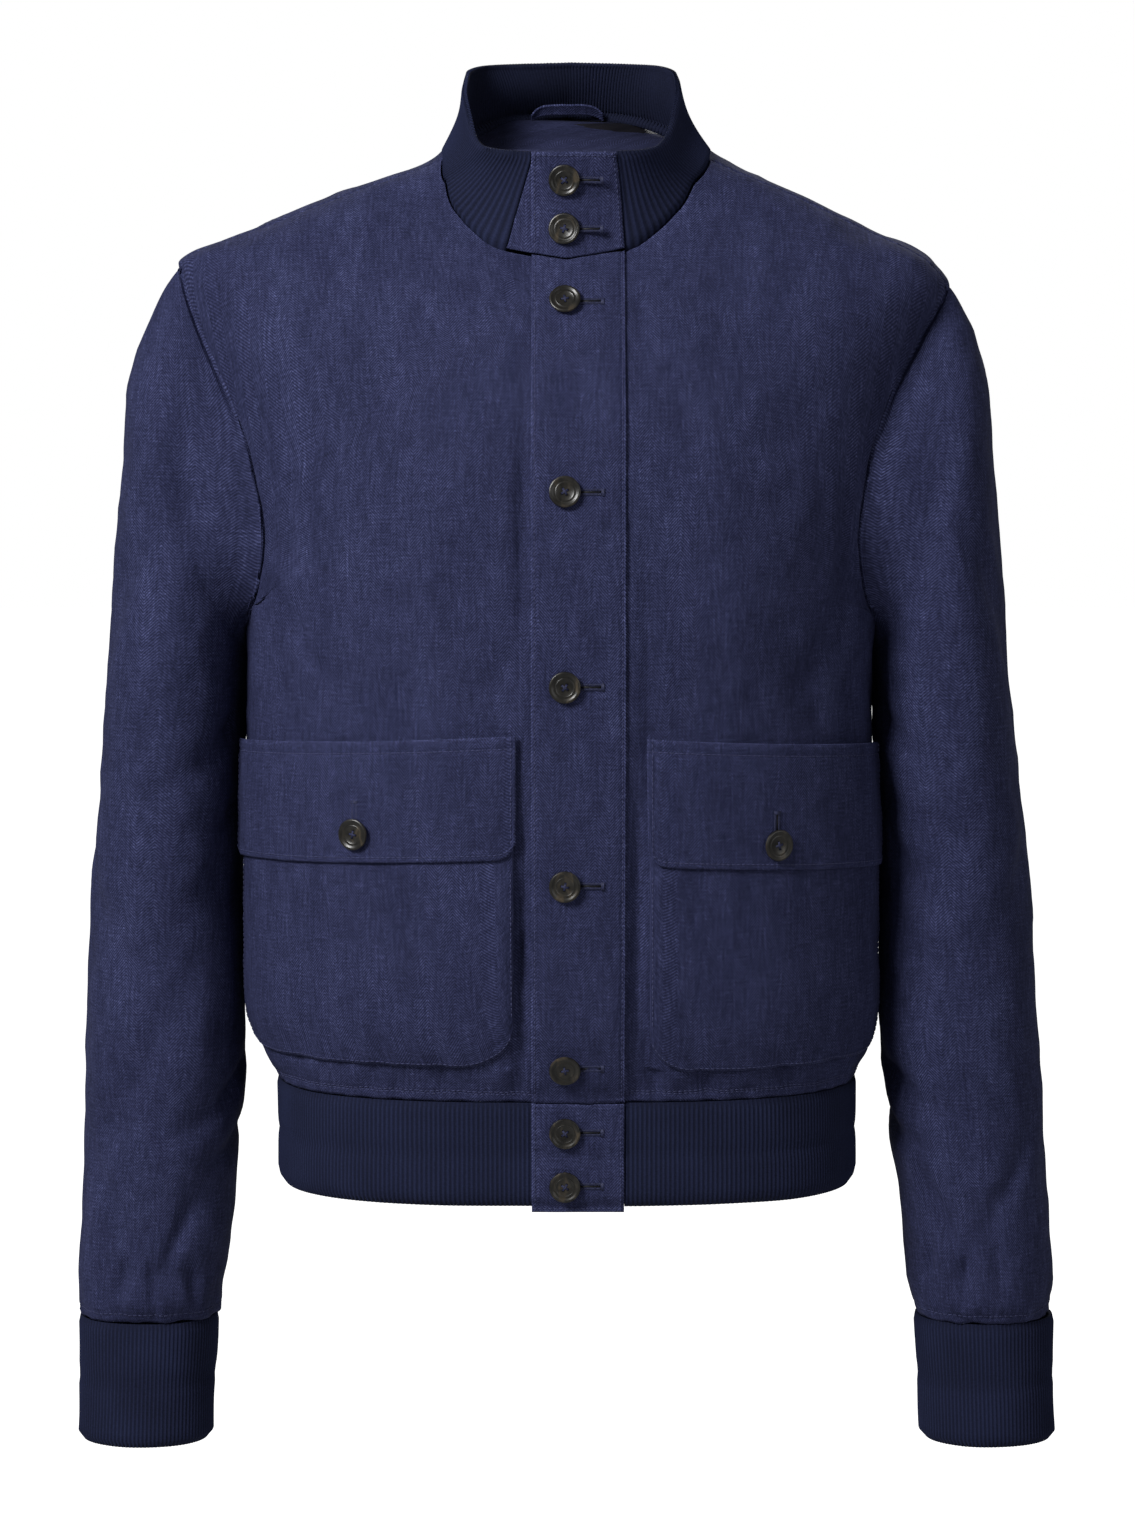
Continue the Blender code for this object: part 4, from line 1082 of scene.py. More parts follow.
def back():
    def relief(point, u, v, edges):
        side = min(edges[0], edges[1])
        return (
            calm(edges) * back_relief(point) + hem_seam(u, edges[2], 23) + pucker(v, side, 24, 0.009, 0.0007)
            + turned_edge(side) + turned_edge(edges[3]) + pucker(u, edges[3], 26, 0.008, 0.0004)
        )

    sheet = cloth("back_linen", back_point, 180, 150, relief, material_named("linen"), anchor=0.5,
                  pull_across=0.6, pull_up=0.6)
    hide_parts("back")
    return sheet


def sleeve_sheet(side):
    sign = 1 if side == "left" else -1
    seed = 31 if side == "left" else 41
    turn_shift, height_shift = (radians(-9), 0.013) if side == "left" else (0.0, 0.0)

    def place(across, up):
        turn = -sign * 2 * pi * across
        if up <= 1 - HEAD_ROWS:
            return sleeve(side, turn, mix(SLEEVE_FOOT, PIVOT, up / (1 - HEAD_ROWS)))
        down = (1 - up) / HEAD_ROWS
        return sleeve_head(side, turn, max(down, 0) ** 1.5)

    def turn_of(point):
        level = min(point.z, PIVOT)
        outer = table_value(SLEEVE, "height", side + "_outer", level)
        inner = table_value(SLEEVE, "height", side + "_inner", level)
        centre = sign * (outer + inner) / 2
        return atan2(-(point.y - table_value(SLEEVE, "height", "back", level)), sign * (point.x - centre))

    def grain_at(point, across):
        expected = 2 * pi * across
        turn = expected + turn_between(-sign * turn_of(point), expected)
        return turn * SLEEVE_GRAIN_RADIUS, point.z

    def relief(point, u, v, edges):
        turn = turn_of(point)
        creases = CREASE_DEPTH * fold_height(SLEEVE_CREASES, turn + turn_shift, point.z - height_shift, 0.050)
        quiet = min(edges[3] / 0.03, 1)
        press = 0.0030 * exp(-((point.z + 0.315) / 0.050) ** 2) * max(-cos(turn), 0) ** 6
        clear = 0.35 if abs(cos(turn)) > 0.8 and cos(turn) < 0 and point.z > -0.53 else 1.0
        rows = gathers(u, edges[2], seed, 0.020, 0.0018) + pucker(u, edges[2] - 0.0062, seed, 0.005, 0.0009)
        groove = -0.0005 * exp(-((edges[2] - 0.0062) / 0.0012) ** 2)
        return (
            clear * quiet * (creases + 0.9 * crumple(point, seed)) + press + rows + groove
            + turned_edge(edges[2], 0.0010, 0.0012) + turned_edge(edges[3], 0.0002, 0.0010)
            + pucker(u, edges[3], seed + 2, 0.010, 0.0007)
        )

    sheet = cloth(side + "_sleeve_linen", place, 180, 132, relief, material_named("linen"), closed=True,
                  pull_up=0.55, grain_at=grain_at)
    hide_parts(side + "_sleeve")
    return sheet


def button_pull(point, x, heights):
    """Where each button draws the placket in."""
    return sum(-0.0008 * exp(-(hypot(point.x - x, point.z - z) / 0.0125) ** 2) for z in heights)


def placket():
    def place(across, up):
        x = mix(PLACKET_RIGHT, PLACKET_LEFT, across)
        angle = angle_at_x(x, NECK_FRONT)
        height = mix(HEM_TOP + SEAM, neck_height(angle) - 0.0004, up)
        return body_at_x(x, height, LAYER + PLACKET_LIFT)

    def relief(point, u, v, edges):
        rows = (
            pucker(v, edges[0] - 0.002, 51, 0.004, 0.00040) + pucker(v, edges[1] - 0.0014, 52, 0.006, 0.0006)
        )
        grooves = (
            -0.0003 * exp(-((edges[0] - 0.0020) / 0.0009) ** 2)
            - 0.0007 * exp(-((edges[1] - 0.0016) / 0.0012) ** 2)
        )
        wave = 0.0006 * noise.noise(Vector((edges[0] / 0.02, v / 0.035, 9.0)))
        return (
            front_relief(point, 0.25) + rows + grooves + wave + turned_edge(edges[0], 0.0005, 0.0007)
            + button_pull(point, BUTTONS_X, PLACKET_BUTTONS)
            + 0.0006 * noise.noise(Vector((u / 0.008, edges[2] / 0.05, 4.0))) * exp(-edges[2] / 0.02)
        )

    sheet = cloth("button_placket_linen", place, 210, 34, relief, material_named("linen"), anchor=0,
                  pull_across=0.6, wear=0.0014)
    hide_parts("button_placket")
    return sheet


def pocket_sheets(row):
    """A patch pocket and its flap. The flap rests on the pocket, and both follow the front's folds."""
    leftward = row.side == "left"
    seed = 61 if leftward else 71

    def patch(across, up):
        across = across if leftward else 1 - across
        return pocket_place(row, across, up, row.top, row.side_top, row.bottom, row.bottom, row.corner, 0)

    def flap(across, up):
        across = across if leftward else 1 - across
        rise = 0.003
        return pocket_place(
            row, mix(-0.006, 1.004, across), up, row.top + rise, row.side_top + rise,
            row.flap, row.side_flap, 0.008, 1,
        )

    def edge_relief(point, u, v, edges):
        side = min(edges[0], edges[1])
        return (
            front_relief(point, 0.40) + pucker(v, side, seed, 0.006, 0.0005)
            + pucker(u, edges[2], seed + 1, 0.006, 0.0005) + turned_edge(side, 0.0006, 0.0009)
            + turned_edge(edges[2], 0.0007, 0.0010)
        )

    def patch_relief(point, u, v, edges):
        under_flap = exp(-max(row.flap - point.z, 0) / 0.012)
        full = 0.0010 * uneven(point, 0.045, seed + 2) * (1 - under_flap)
        inner = min(min(edges[0], edges[1]) / 0.01, 1) * min(edges[2] / 0.01, 1)
        return edge_relief(point, u, v, edges) + full * inner

    def flap_relief(point, u, v, edges):
        band = (
            -0.0005 * exp(-((edges[3] - 0.0070) / 0.0012) ** 2)
            + pucker(u, edges[3] - 0.007, seed + 3, 0.004, 0.0006)
        )
        lift = 0.0006 * exp(-edges[2] / 0.006) * (0.6 + noise.noise(Vector((u / 0.03, seed, 0.0))))
        button = button_pull(point, row.button_x, (row.button,)) * 0.5
        return edge_relief(point, u, v, edges) + band + lift + button + turned_edge(edges[3], 0.0006, 0.001)

    linen = material_named("linen")
    pocket = cloth(row.side + "_pocket_linen", patch, 90, 84, patch_relief, linen,
                   pull_across=0.6, pull_up=0.5)
    cover = cloth(row.side + "_pocket_flap_linen", flap, 46, 84, flap_relief, linen,
                  pull_across=0.6, pull_up=0.4)
    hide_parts(row.side + "_pocket")
    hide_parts(row.side + "_pocket_flap")
    return pocket, cover


def rib_band(name, node, place, ribs, rows, closed=False, extra=None):
    """A band of rib knit, with every rib raised, and the extra relief that a band asks for, such as a soft
    line where a cuff was pressed at its middle.
    """
    # Each rib's height across it: it raises the rib, and the rib material turns it into painted shade between
    # the ribs and a painted highlight on their tops.
    def crest(across):
        return 0.5 - 0.5 * cos(2 * pi * across * ribs)

    def ribbed_place(across, up):
        return place(across, up, RIB_RAISE * crest(across))

    def relief(point, u, v, edges):
        ends = turned_edge(edges[2], 0.0010, 0.0014) + turned_edge(edges[3], 0.0010, 0.0014)
        return ends + 0.0005 * uneven(point, 0.040, 81) + (extra(point, edges) if extra else 0.0)

    sheet = cloth(name, ribbed_place, rows, ribs * 4, relief, material_named("rib"), wall=RIB_WALL,
                  closed=closed, crest=crest)
    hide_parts(node)
    return sheet


def collar_band(settings):
    def place(across, up, out):
        share = mix(COLLAR_FOOT, 1, up)
        first = collar_angle(mix(PLACKET_LEFT, COLLAR_TAB_LEFT, share), share)
        last = collar_angle(mix(COLLAR_TAB_RIGHT, PLACKET_RIGHT, min(share * TAB_SLANT, 1)), share) - 2 * pi
        sunk = COLLAR_SINK * min(max(-share, 0) / 0.02, 1)
        return collar(mix(first, last, across), share, out - sunk)

    def soft(point, edges):
        return 0.0008 * uneven(point, 0.030, 83) * min(edges[2] / 0.02, 1)

    return rib_band("collar_rib", "rib_collar", place, settings.collar_ribs, 16, extra=soft)


def hem_band(settings):
    def place(across, up, out):
        height = mix(HEM_BOTTOM, HEM_TOP, up)
        first = angle_at_x(PLACKET_LEFT, height)
        last = angle_at_x(PLACKET_RIGHT + RIB_TURN_IN, height) - 2 * pi
        return hem(mix(first, last, across), up, out)

    return rib_band("hem_rib", "rib_hem", place, settings.hem_ribs, 14)


def cuff_band(settings, side):
    sign = 1 if side == "left" else -1

    def place(across, up, out):
        return cuff(side, -sign * 2 * pi * across, mix(CUFF[0].height, CUFF[-1].height, up), out)

    def pressed(point, edges):
        middle = (CUFF[0].height + CUFF[-1].height) / 2 + 0.002
        return -0.0008 * exp(-((point.z - middle) / 0.0030) ** 2) + 0.0007 * uneven(point, 0.030, 84)

    return rib_band(side + "_cuff_rib", side + "_cuff", place, settings.cuff_ribs, 16,
                    closed=True, extra=pressed)


def tabs():
    """The linen ends of the collar and the waistband, which carry the buttons and lie over each other."""
    def collar_upper(across, up):
        x = mix(PLACKET_RIGHT, mix(PLACKET_LEFT, COLLAR_TAB_LEFT, up), across)
        return collar(collar_angle(x, up), up, LAYER + TAB_LIFT)

    def collar_under(across, up):
        start = mix(COLLAR_TAB_RIGHT, PLACKET_RIGHT, min(up * TAB_SLANT, 1))
        return collar(collar_angle(mix(start, mix(UNDERLAP, COLLAR_UNDERLAP, up), across), up), up)

    def hem_upper(across, up):
        height = mix(HEM_BOTTOM, HEM_TOP, up)
        share = up - TAB_DROP * (1 - up)
        return hem(angle_at_x(mix(PLACKET_RIGHT, PLACKET_LEFT, across), height), share, LAYER + PLACKET_LIFT)

    def hem_under(across, up):
        height = mix(HEM_BOTTOM, HEM_TOP, up)
        return hem(angle_at_x(mix(PLACKET_RIGHT, UNDERLAP, across), height), up)

    def relief(seed, strength):
        def raised(point, u, v, edges):
            side = min(edges[0], edges[1])
            return strength * (
                pucker(v, side - 0.002, seed, 0.005, 0.0005)
                + turned_edge(min(side, edges[3], edges[2]), 0.0005, 0.0008)
                + 0.0005 * uneven(point, 0.016, seed)
            )
        return raised

    linen = material_named("linen")
    pieces = (
        ("collar_tab_upper", collar_upper, 44, 34, (0.0535, 0.066), 1.0),
        ("collar_tab_under", collar_under, 30, 24, (0.060, 0.066), 0.4),
        ("hem_tab_upper", hem_upper, 44, 34, (0.0535, 0.065), 1.0),
        ("hem_tab_under", hem_under, 30, 24, (0.048, 0.062), 0.4),
    )
    made = {}
    for number, (name, place, rows, columns, flat, strength) in enumerate(pieces):
        sheet = cloth(name + "_linen", place, rows, columns, relief(91 + number, strength), linen, anchor=0,
                      pull_across=0.5, pull_up=0.5, wear=0.0014)
        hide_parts(name)
        made[name] = sheet
    return made


def neck_lining():
    inside = -LINEN_WALL - 0.0007
    first_row = 14 / 25
    half = 5 / 18

    def place(across, up):
        return back_point(mix(0.5 - half, 0.5 + half, across), mix(first_row, 1, up), inside)

    def relief(point, u, v, edges):
        folds = (
            -0.0012 * exp(-((point.z - 0.014 - 0.1 * point.x) / 0.0022) ** 2)
            - 0.0012 * exp(-((point.x + 0.012 - 0.9 * (point.z - 0.012)) / 0.0025) ** 2)
        )
        return min(edges[3] / 0.020, 1) * back_relief(point) + folds * exp(-edges[3] / 0.03)

    sheet = cloth("back_neck_lining_twill", place, 70, 90, relief, material_named("lining"),
                  wall=0.0008, anchor=0.5)
    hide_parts("back_neck_lining")
    return sheet


def hanger_loop():
    half_width = 0.022
    loop_height = 0.006
    middle = 0.0305

    def place(across, up):
        end = abs(2 * across - 1)
        x = mix(half_width, -half_width, across)
        z = middle - 0.005 * end ** 5 + loop_height * (up - 0.5) * (1 - 0.3 * end ** 5)
        y = 0.0618 - 0.0020 * (1 - end ** 2) - 0.004 * (up - 0.5)
        return Vector((x, y, z))

    def relief(point, u, v, edges):
        return 0.0003 * uneven(point, 0.006, 95) + turned_edge(min(edges[2], edges[3]), 0.0004, 0.0009)

    sheet = cloth("hanger_loop_linen", place, 8, 40, relief, material_named("linen"),
                  wall=0.0011, wear=0.0012)
    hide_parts("hanger_loop")
    return sheet


def button_seats():
    """Each button's node, the point under it and the direction that it faces."""
    seats = []
    for share in COLLAR_BUTTONS:
        angle = collar_angle(BUTTONS_X, share)
        low = collar(angle, share, LAYER)
        seats.append((low, collar(angle, share, LAYER + 0.001) - low))
    for height in PLACKET_BUTTONS:
        low = body_at_x(BUTTONS_X, height, LAYER + PLACKET_LIFT)
        seats.append((low, body_at_x(BUTTONS_X, height, LAYER + PLACKET_LIFT + 0.001) - low))
    for height in HEM_BUTTONS:
        share = (height - HEM_BOTTOM) / (HEM_TOP - HEM_BOTTOM)
        angle = angle_at_x(BUTTONS_X, height)
        low = hem(angle, share, LAYER + PLACKET_LIFT)
        seats.append((low, hem(angle, share, LAYER + PLACKET_LIFT + 0.001) - low))
    named = [(f"button_{number}", low, out.normalized()) for number, (low, out) in enumerate(seats, 1)]
    for row in POCKETS:
        near = POCKET_SEAT + 2 * LAYER + POCKET_AIR - 0.0002
        low = body_at_x(row.button_x, row.button, near)
        out = body_at_x(row.button_x, row.button, near + 0.001) - low
        named.append(("pocket_button_" + row.side, low, out.normalized()))
    return named


def button_blank():
    """A turned button with four holes, a dished middle and a rounded rim, facing +Z."""
    bm = bmesh.new()
    outline = (
        (0.0, 0.0020), (0.0046, 0.0020), (0.0052, 0.0023), (0.0056, 0.0021),
        (0.0068, 0.0023), (0.0075, 0.0029), (0.0081, 0.0030), (0.0087, 0.0027),
        (BUTTON_RADIUS, 0.0020), (0.0086, 0.0011), (0.0072, 0.0002), (0.0, 0.0),
    )
    points = [bm.verts.new((radius, 0, height)) for radius, height in outline]
    edges = [bm.edges.new(pair) for pair in zip(points, points[1:])]
    bmesh.ops.spin(bm, geom=points + edges, axis=(0, 0, 1), cent=(0, 0, 0), angle=2 * pi, steps=40,
                   use_merge=True)
    bmesh.ops.remove_doubles(bm, verts=bm.verts, dist=1e-6)
    bmesh.ops.recalc_face_normals(bm, faces=bm.faces)
    mesh = bpy.data.meshes.new("Button blank")
    bm.to_mesh(mesh)
    bm.free()
    blank = bpy.data.objects.new("Button blank", mesh)
    bpy.context.scene.collection.objects.link(blank)
    holes = bmesh.new()
    for turn in range(4):
        place = Vector((HOLE_OFFSET, 0, 0.0015))
        place.rotate(Matrix.Rotation(pi / 4 + turn * pi / 2, 4, "Z"))
        bmesh.ops.create_cone(holes, segments=12, radius1=0.00075, radius2=0.00085, depth=0.006,
                              cap_ends=True, matrix=Matrix.Translation(place))
    cutter_mesh = bpy.data.meshes.new("Button holes")
    holes.to_mesh(cutter_mesh)
    holes.free()
    cutter = bpy.data.objects.new("Button holes", cutter_mesh)
    bpy.context.scene.collection.objects.link(cutter)
    cut = blank.modifiers.new("Holes", "BOOLEAN")
    cut.object = cutter
    cut.operation = "DIFFERENCE"
    graph = bpy.context.evaluated_depsgraph_get()
    drilled = bpy.data.meshes.new_from_object(blank.evaluated_get(graph))
    bpy.data.objects.remove(blank)
    bpy.data.objects.remove(cutter)
    return drilled


def buttons():
    """Every button, stood on its thread, with its crossed thread through the four holes."""
    blank = button_blank()
    for number, (node, low, out) in enumerate(button_seats()):
        spin = Matrix.Rotation(radians(23 * number + 8), 4, "Z")
        facing = out.to_track_quat("Z", "Y").to_matrix().to_4x4()
        place = Matrix.Translation(low + out * BUTTON_STAND) @ facing @ spin
        bm = bmesh.new()
        bm.from_mesh(blank)
        bmesh.ops.transform(bm, matrix=place, verts=bm.verts)
        button = add_mesh(node + "_horn", bm, material_named("horn"))
        button.data.set_sharp_from_angle(angle=radians(40))
        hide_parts(node)
        bm = bmesh.new()
        for turn in (pi / 4, -pi / 4):
            for strand in (-0.00028, 0.00028):
                lie = Matrix.Rotation(turn, 4, "Z") @ Matrix.Translation((0, strand, 0.00222))
                lie = lie @ Matrix.Rotation(radians(90), 4, "Y")
                bmesh.ops.create_cone(bm, segments=8, radius1=0.00030, radius2=0.00030,
                                      depth=2 * HOLE_OFFSET + 0.0006, cap_ends=True, matrix=place @ lie)
        shank = Matrix.Translation((0, 0, 0.0005 - BUTTON_STAND))
        bmesh.ops.create_cone(bm, segments=10, radius1=0.0014, radius2=0.0013, depth=0.002, cap_ends=True,
                              matrix=place @ shank)
        thread = add_mesh(node + "_thread", bm, material_named("buttonhole"))


def buttonhole(bm, slits, seat, along, out, length):
    """Satin stitches round the cut, with a bar across its far end, and a flat near black box in the cut as
    painted shadow.
    """
    side = out.cross(along).normalized()
    basis = Matrix((along, side, out)).transposed().to_4x4()
    for k in range(int(length / 0.0007)):
        for edge in (-1, 1):
            stray = noise.noise(seat * 900 + Vector((k * 1.7, edge * 3.0, 0.0)))
            place = seat + along * (k * 0.0007) + side * (edge * (0.00125 + 0.0002 * stray)) + out * 0.00025
            turn = Matrix.Rotation(radians(90 + 14 * stray), 4, "X")
            bmesh.ops.create_cone(bm, segments=5, radius1=0.00034, radius2=0.00030, depth=0.0014,
                                  cap_ends=True, matrix=Matrix.Translation(place) @ basis @ turn)
    for k in range(5):
        place = seat + along * (length + 0.0003 * k) + out * 0.0004
        turn = Matrix.Rotation(radians(90), 4, "X")
        bmesh.ops.create_cone(bm, segments=6, radius1=0.00036, radius2=0.00036, depth=0.0044, cap_ends=True,
                              matrix=Matrix.Translation(place) @ basis @ turn)
    # A flat near black box down the middle of the cut: painted shadow where the buttonhole opens.
    middle = seat + along * (length / 2) + out * 0.00018
    made = bmesh.ops.create_cube(slits, size=1.0)
    stretch = Matrix.Diagonal((length, 0.0013, 0.0003, 1.0))
    bmesh.ops.transform(slits, matrix=Matrix.Translation(middle) @ basis @ stretch, verts=made["verts"])


def buttonholes():
    """A worked hole beside each button: level ones on the front, upright ones above the pocket buttons."""
    bm = bmesh.new()
    slits = bmesh.new()
    for node, low, out in button_seats():
        upright = node.startswith("pocket")
        along = Vector((0, 0, 1)) if upright else Vector((1, 0, 0))
        along = (along - out * along.dot(out)).normalized()
        start = BUTTON_RADIUS * (0.8 if upright else 0.75)
        buttonhole(bm, slits, low + along * start - out * 0.0002, along, out, 0.0105 if upright else 0.0140)
    sewn = add_mesh("buttonhole_stitching", bm, material_named("buttonhole"))
    # The near black boxes are painted shadow inside the buttonholes.
    dark = add_mesh("buttonhole_slits", slits, material_named("slit"))


def seams(made):
    """The rows of sewing that show, each at its real distance from an edge."""
    rows = {
        "placket_stitching": [("placket", "first", 0.0020, 0, 1), ("placket", "last", 0.0016, 0, 1)],
        "hem_stitching": [
            (name, "foot", inset, 0, 1)
            for name in ("left_front", "right_front", "back") for inset in HEM_STITCHES
        ],
        "sleeve_end_stitching": [(side + "_sleeve", "foot", 0.0062, 0, 1) for side in ("left", "right")],
        "pocket_stitching": [],
        "tab_stitching": [
            (name + "_tab_upper", edge, 0.0020, 0, 1)
            for name in ("collar", "hem") for edge in ("first", "last")
        ] + [("collar_tab_upper", "top", 0.0020, 0, 1), ("hem_tab_upper", "foot", 0.0020, 0, 1)],
    }
    for side in ("left", "right"):
        rows["pocket_stitching"] += [
            (side + "_pocket", "first", 0.0018, 0.12, 0.55), (side + "_pocket", "last", 0.0018, 0.12, 0.55),
            (side + "_pocket", "foot", 0.0020, 0.02, 0.98), (side + "_flap", "first", 0.0030, 0.1, 1),
            (side + "_flap", "last", 0.0030, 0.1, 1), (side + "_flap", "foot", 0.0032, 0.03, 0.97),
            (side + "_flap", "top", 0.0070, 0, 1),
        ]
    for name, lines in rows.items():
        found = [line_at(made[piece], edge, inset, start, end) for piece, edge, inset, start, end in lines]
        sewn = sew(name, found, material_named("thread"))


def hex_property(name, description, default):
    return bpy.props.StringProperty(name=name, description=description, default=default)


class JacketLook(bpy.types.PropertyGroup):
    """Sizes and colours of the jacket's finish."""

    chevron_width: bpy.props.FloatProperty(
        name="Chevron width", description="Width of one slanting stripe of the herringbone",
        default=0.008, min=0.002, max=0.03, unit="LENGTH", subtype="DISTANCE",
    )
    twill_pitch: bpy.props.FloatProperty(
        name="Twill pitch", description="Distance between two diagonals of the weave",
        default=0.0018, min=0.0005, max=0.01, unit="LENGTH", subtype="DISTANCE",
    )
    collar_ribs: bpy.props.IntProperty(
        name="Collar ribs", description="Ribs round the collar", default=200, min=20,
    )
    hem_ribs: bpy.props.IntProperty(
        name="Waistband ribs", description="Ribs round the waistband", default=400, min=40,
    )
    cuff_ribs: bpy.props.IntProperty(
        name="Cuff ribs", description="Ribs round each cuff", default=106, min=20,
    )
    linen_deep: hex_property("Deep linen", "sRGB colour between the linen's threads", "#171a2f")
    linen_mid: hex_property("Linen", "sRGB colour of most of the linen", "#232642")
    linen_pale: hex_property("Pale linen", "sRGB colour of the linen's raised threads", "#373b5c")
    linen_fleck: hex_property("Worn linen", "sRGB colour of worn and slubbed threads", "#565b85")
    # The deep rib colour is partly painted shade between the ribs, and the pale rib colour partly a painted
    # highlight on their tops.
    rib_deep: hex_property("Deep rib", "sRGB colour between the ribs", "#0b0e1a")
    rib_mid: hex_property("Rib", "sRGB colour of the rib knit", "#181c32")
    rib_pale: hex_property("Pale rib", "sRGB colour on top of the ribs", "#232944")
    lining_deep: hex_property("Deep lining", "sRGB colour of the lining in shade", "#14131a")
    lining_pale: hex_property("Lining", "sRGB colour of the lining", "#25242a")
    horn_deep: hex_property("Deep horn", "sRGB colour of most of the horn", "#0b0a08")
    horn_mid: hex_property("Horn", "sRGB colour of the horn's streaks", "#1d1b17")
    horn_pale: hex_property("Pale horn", "sRGB colour of the horn's palest streaks", "#40382c")
    thread_pale: hex_property("Thread", "sRGB colour of the sewing thread", "#3a3e63")


sheets = {}


class JacketPiece:
    """What every operator of the jacket shares."""

    bl_options = {"REGISTER", "UNDO"}

    def execute(self, context):
        self.make(context.scene.jacket_look)
        return {"FINISHED"}


class JACKET_OT_fronts(JacketPiece, bpy.types.Operator):
    """Hang the two linen fronts"""

    bl_idname = "jacket.fronts"
    bl_label = "Fronts"

    def make(self, settings):
        sheets["left_front"] = left_front()
        sheets["right_front"] = right_front()


class JACKET_OT_back(JacketPiece, bpy.types.Operator):
    """Hang the linen back"""

    bl_idname = "jacket.back"
    bl_label = "Back"

    def make(self, settings):
        sheets["back"] = back()


class JACKET_OT_sleeves(JacketPiece, bpy.types.Operator):
    """Hang the two linen sleeves"""

    bl_idname = "jacket.sleeves"
    bl_label = "Sleeves"

    def make(self, settings):
        for side in ("left", "right"):
            sheets[side + "_sleeve"] = sleeve_sheet(side)


class JACKET_OT_placket(JacketPiece, bpy.types.Operator):
    """Lay the button placket over the fronts"""

    bl_idname = "jacket.placket"
    bl_label = "Placket"

    def make(self, settings):
        sheets["placket"] = placket()


class JACKET_OT_pockets(JacketPiece, bpy.types.Operator):
    """Lay the patch pockets and their flaps on the fronts"""

    bl_idname = "jacket.pockets"
    bl_label = "Pockets"

    def make(self, settings):
        for row in POCKETS:
            sheets[row.side + "_pocket"], sheets[row.side + "_flap"] = pocket_sheets(row)


class JACKET_OT_ribs(JacketPiece, bpy.types.Operator):
    """Knit the collar, the waistband and the two cuffs"""

    bl_idname = "jacket.ribs"
    bl_label = "Rib bands"

    def make(self, settings):
        collar_band(settings)
        hem_band(settings)
        for side in ("left", "right"):
            cuff_band(settings, side)


class JACKET_OT_tabs(JacketPiece, bpy.types.Operator):
    """Sew the linen ends of the collar and the waistband"""

    bl_idname = "jacket.tabs"
    bl_label = "Button tabs"

    def make(self, settings):
        sheets.update(tabs())


class JACKET_OT_inside(JacketPiece, bpy.types.Operator):
    """Line the neck and hang the loop in it"""

    bl_idname = "jacket.inside"
    bl_label = "Lining and loop"

    def make(self, settings):
        neck_lining()
        hanger_loop()


class JACKET_OT_buttons(JacketPiece, bpy.types.Operator):
    """Sew on the horn buttons and work their buttonholes"""

    bl_idname = "jacket.buttons"
    bl_label = "Buttons"

    def make(self, settings):
        buttons()
        buttonholes()


class JACKET_OT_stitching(JacketPiece, bpy.types.Operator):
    """Sew the rows of stitches that show"""

    bl_idname = "jacket.stitching"
    bl_label = "Stitching"

    def make(self, settings):
        seams(sheets)


def area_light(name, place, aim, width, power):
    """A square soft light at a place, turned towards a point."""
    lamp = bpy.data.lights.new(name, "AREA")
    lamp.shape = "SQUARE"
    lamp.size = width
    lamp.energy = power
    light = bpy.data.objects.new(name, lamp)
    light.location = place
    light.rotation_euler = (Vector(aim) - Vector(place)).to_track_quat("-Z", "Y").to_euler()
    bpy.context.scene.collection.objects.link(light)


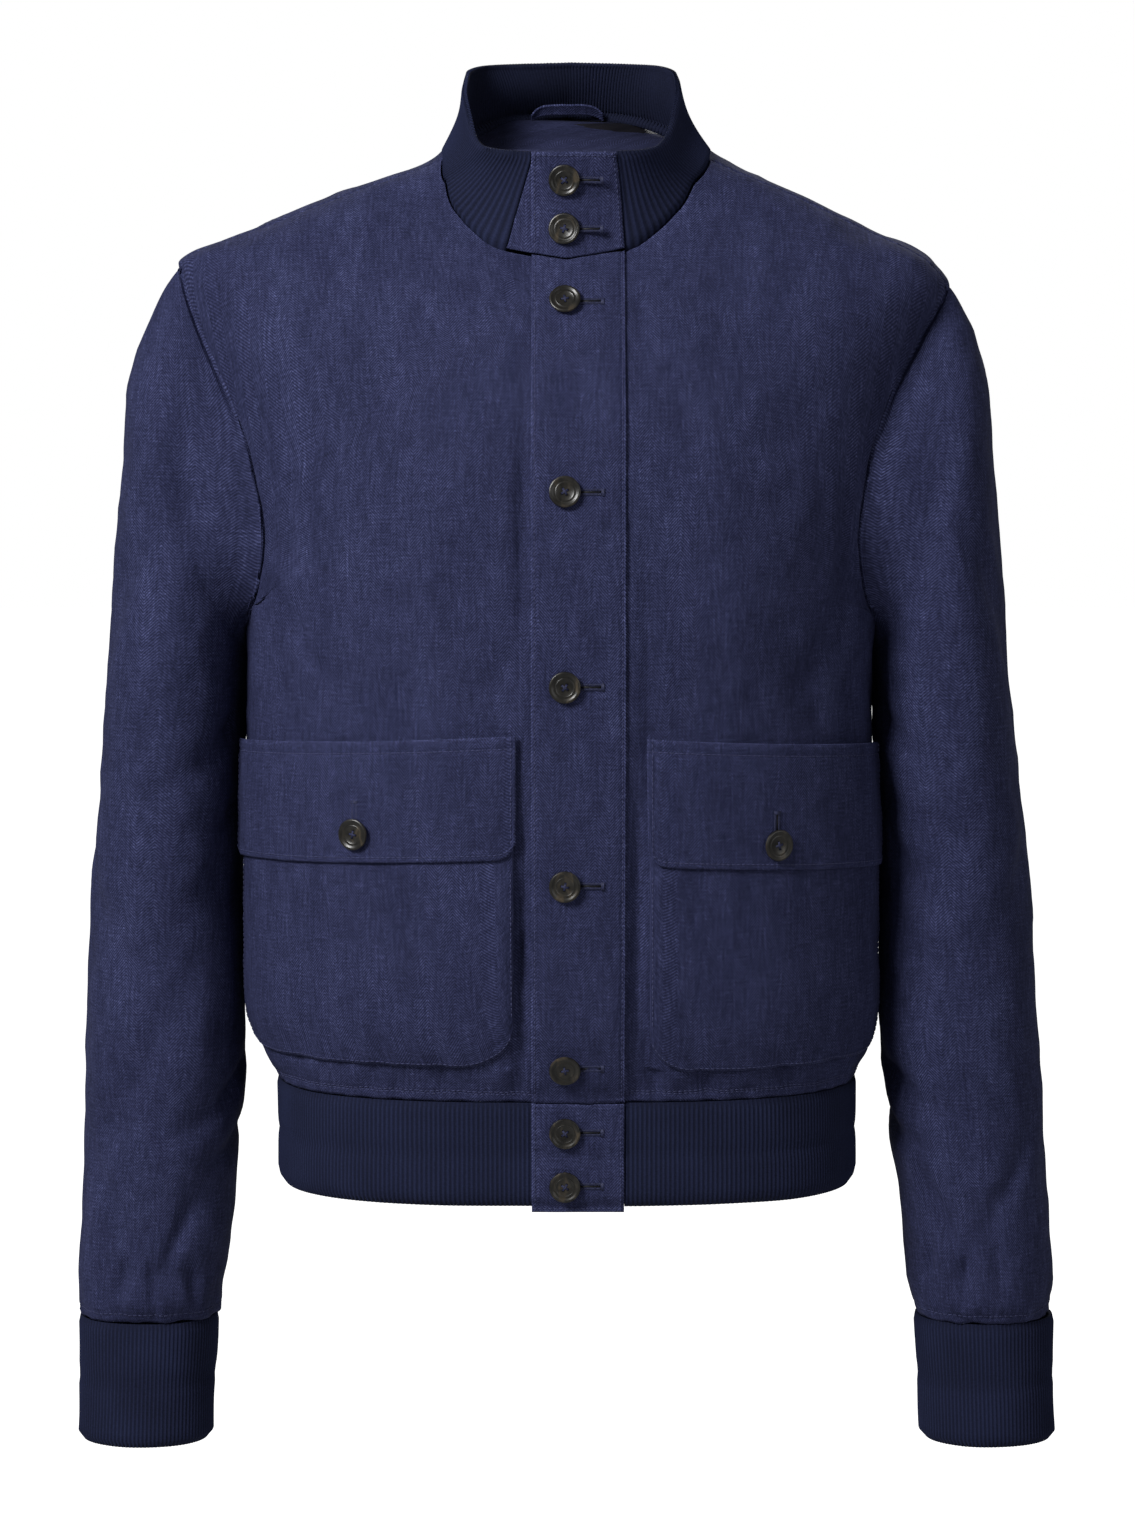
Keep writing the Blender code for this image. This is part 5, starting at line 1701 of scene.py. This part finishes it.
class JACKET_OT_stage(JacketPiece, bpy.types.Operator):
    """Set the white ground, the soft lights and the camera"""

    bl_idname = "jacket.stage"
    bl_label = "Stage"

    def make(self, settings):
        bm = bmesh.new()
        bmesh.ops.create_circle(bm, cap_ends=True, segments=64, radius=GROUND_RADIUS,
                                matrix=Matrix.Translation((0, 0, GROUND_HEIGHT)))
        mesh = bpy.data.meshes.new("ground")
        bm.to_mesh(mesh)
        bm.free()
        ground = bpy.data.objects.new("ground", mesh)
        mesh.materials.append(pale_ground())
        bpy.context.scene.collection.objects.link(ground)

        world = bpy.data.worlds.new("White studio")
        world.use_nodes = True
        sky = world.node_tree.nodes["Background"]
        sky.inputs["Color"].default_value = (1.0, 1.0, 1.0, 1)
        seen = add_node(world.node_tree, "ShaderNodeLightPath").outputs["Is Camera Ray"]
        strength = maths(world.node_tree, "MULTIPLY_ADD", seen, SKY_STRENGTH - SKY_LIGHT, SKY_LIGHT)
        world.node_tree.links.new(strength, sky.inputs["Strength"])
        bpy.context.scene.world = world

        bpy.context.scene.view_settings.view_transform = "Standard"

        middle = (0, 0, -0.35)
        area_light("Key", (-1.9, -2.1, 1.5), middle, 1.1, KEY_POWER)
        area_light("Fill", (2.2, -2.2, 0.4), middle, 2.0, KEY_POWER * 0.12)
        area_light("Back", (0.4, 2.4, 1.6), middle, 1.8, KEY_POWER * 0.2)

        lens = bpy.data.cameras.new("Photo view")
        lens.lens = FOCAL_PIXELS / PHOTO_HEIGHT * lens.sensor_width
        camera = bpy.data.objects.new("Photo view", lens)
        camera.location = CAMERA_PLACE
        camera.rotation_euler = (radians(90 - CAMERA_TILT), 0, 0)
        bpy.context.scene.collection.objects.link(camera)
        bpy.context.scene.camera = camera


PIECES = (
    JACKET_OT_fronts, JACKET_OT_back, JACKET_OT_sleeves, JACKET_OT_placket, JACKET_OT_pockets, JACKET_OT_ribs,
    JACKET_OT_tabs, JACKET_OT_inside, JACKET_OT_buttons, JACKET_OT_stitching, JACKET_OT_stage,
)


class JACKET_PT_panel(bpy.types.Panel):
    """Lists the jacket's pieces and its finish"""

    bl_idname = "JACKET_PT_panel"
    bl_label = "Linen jacket"
    bl_space_type = "VIEW_3D"
    bl_region_type = "UI"
    bl_category = "Jacket"

    def draw(self, context):
        for piece in PIECES:
            self.layout.operator(piece.bl_idname)
        for name in JacketLook.__annotations__:
            self.layout.prop(context.scene.jacket_look, name)


CLASSES = (JacketLook, *PIECES, JACKET_PT_panel)


def register():
    for kind in CLASSES:
        bpy.utils.register_class(kind)
    bpy.types.Scene.jacket_look = bpy.props.PointerProperty(type=JacketLook)


def unregister():
    del bpy.types.Scene.jacket_look
    for kind in reversed(CLASSES):
        bpy.utils.unregister_class(kind)


def main():
    register()
    for piece in PIECES:
        group, name = piece.bl_idname.split(".")
        getattr(getattr(bpy.ops, group), name)()


if __name__ == "__main__":
    main()
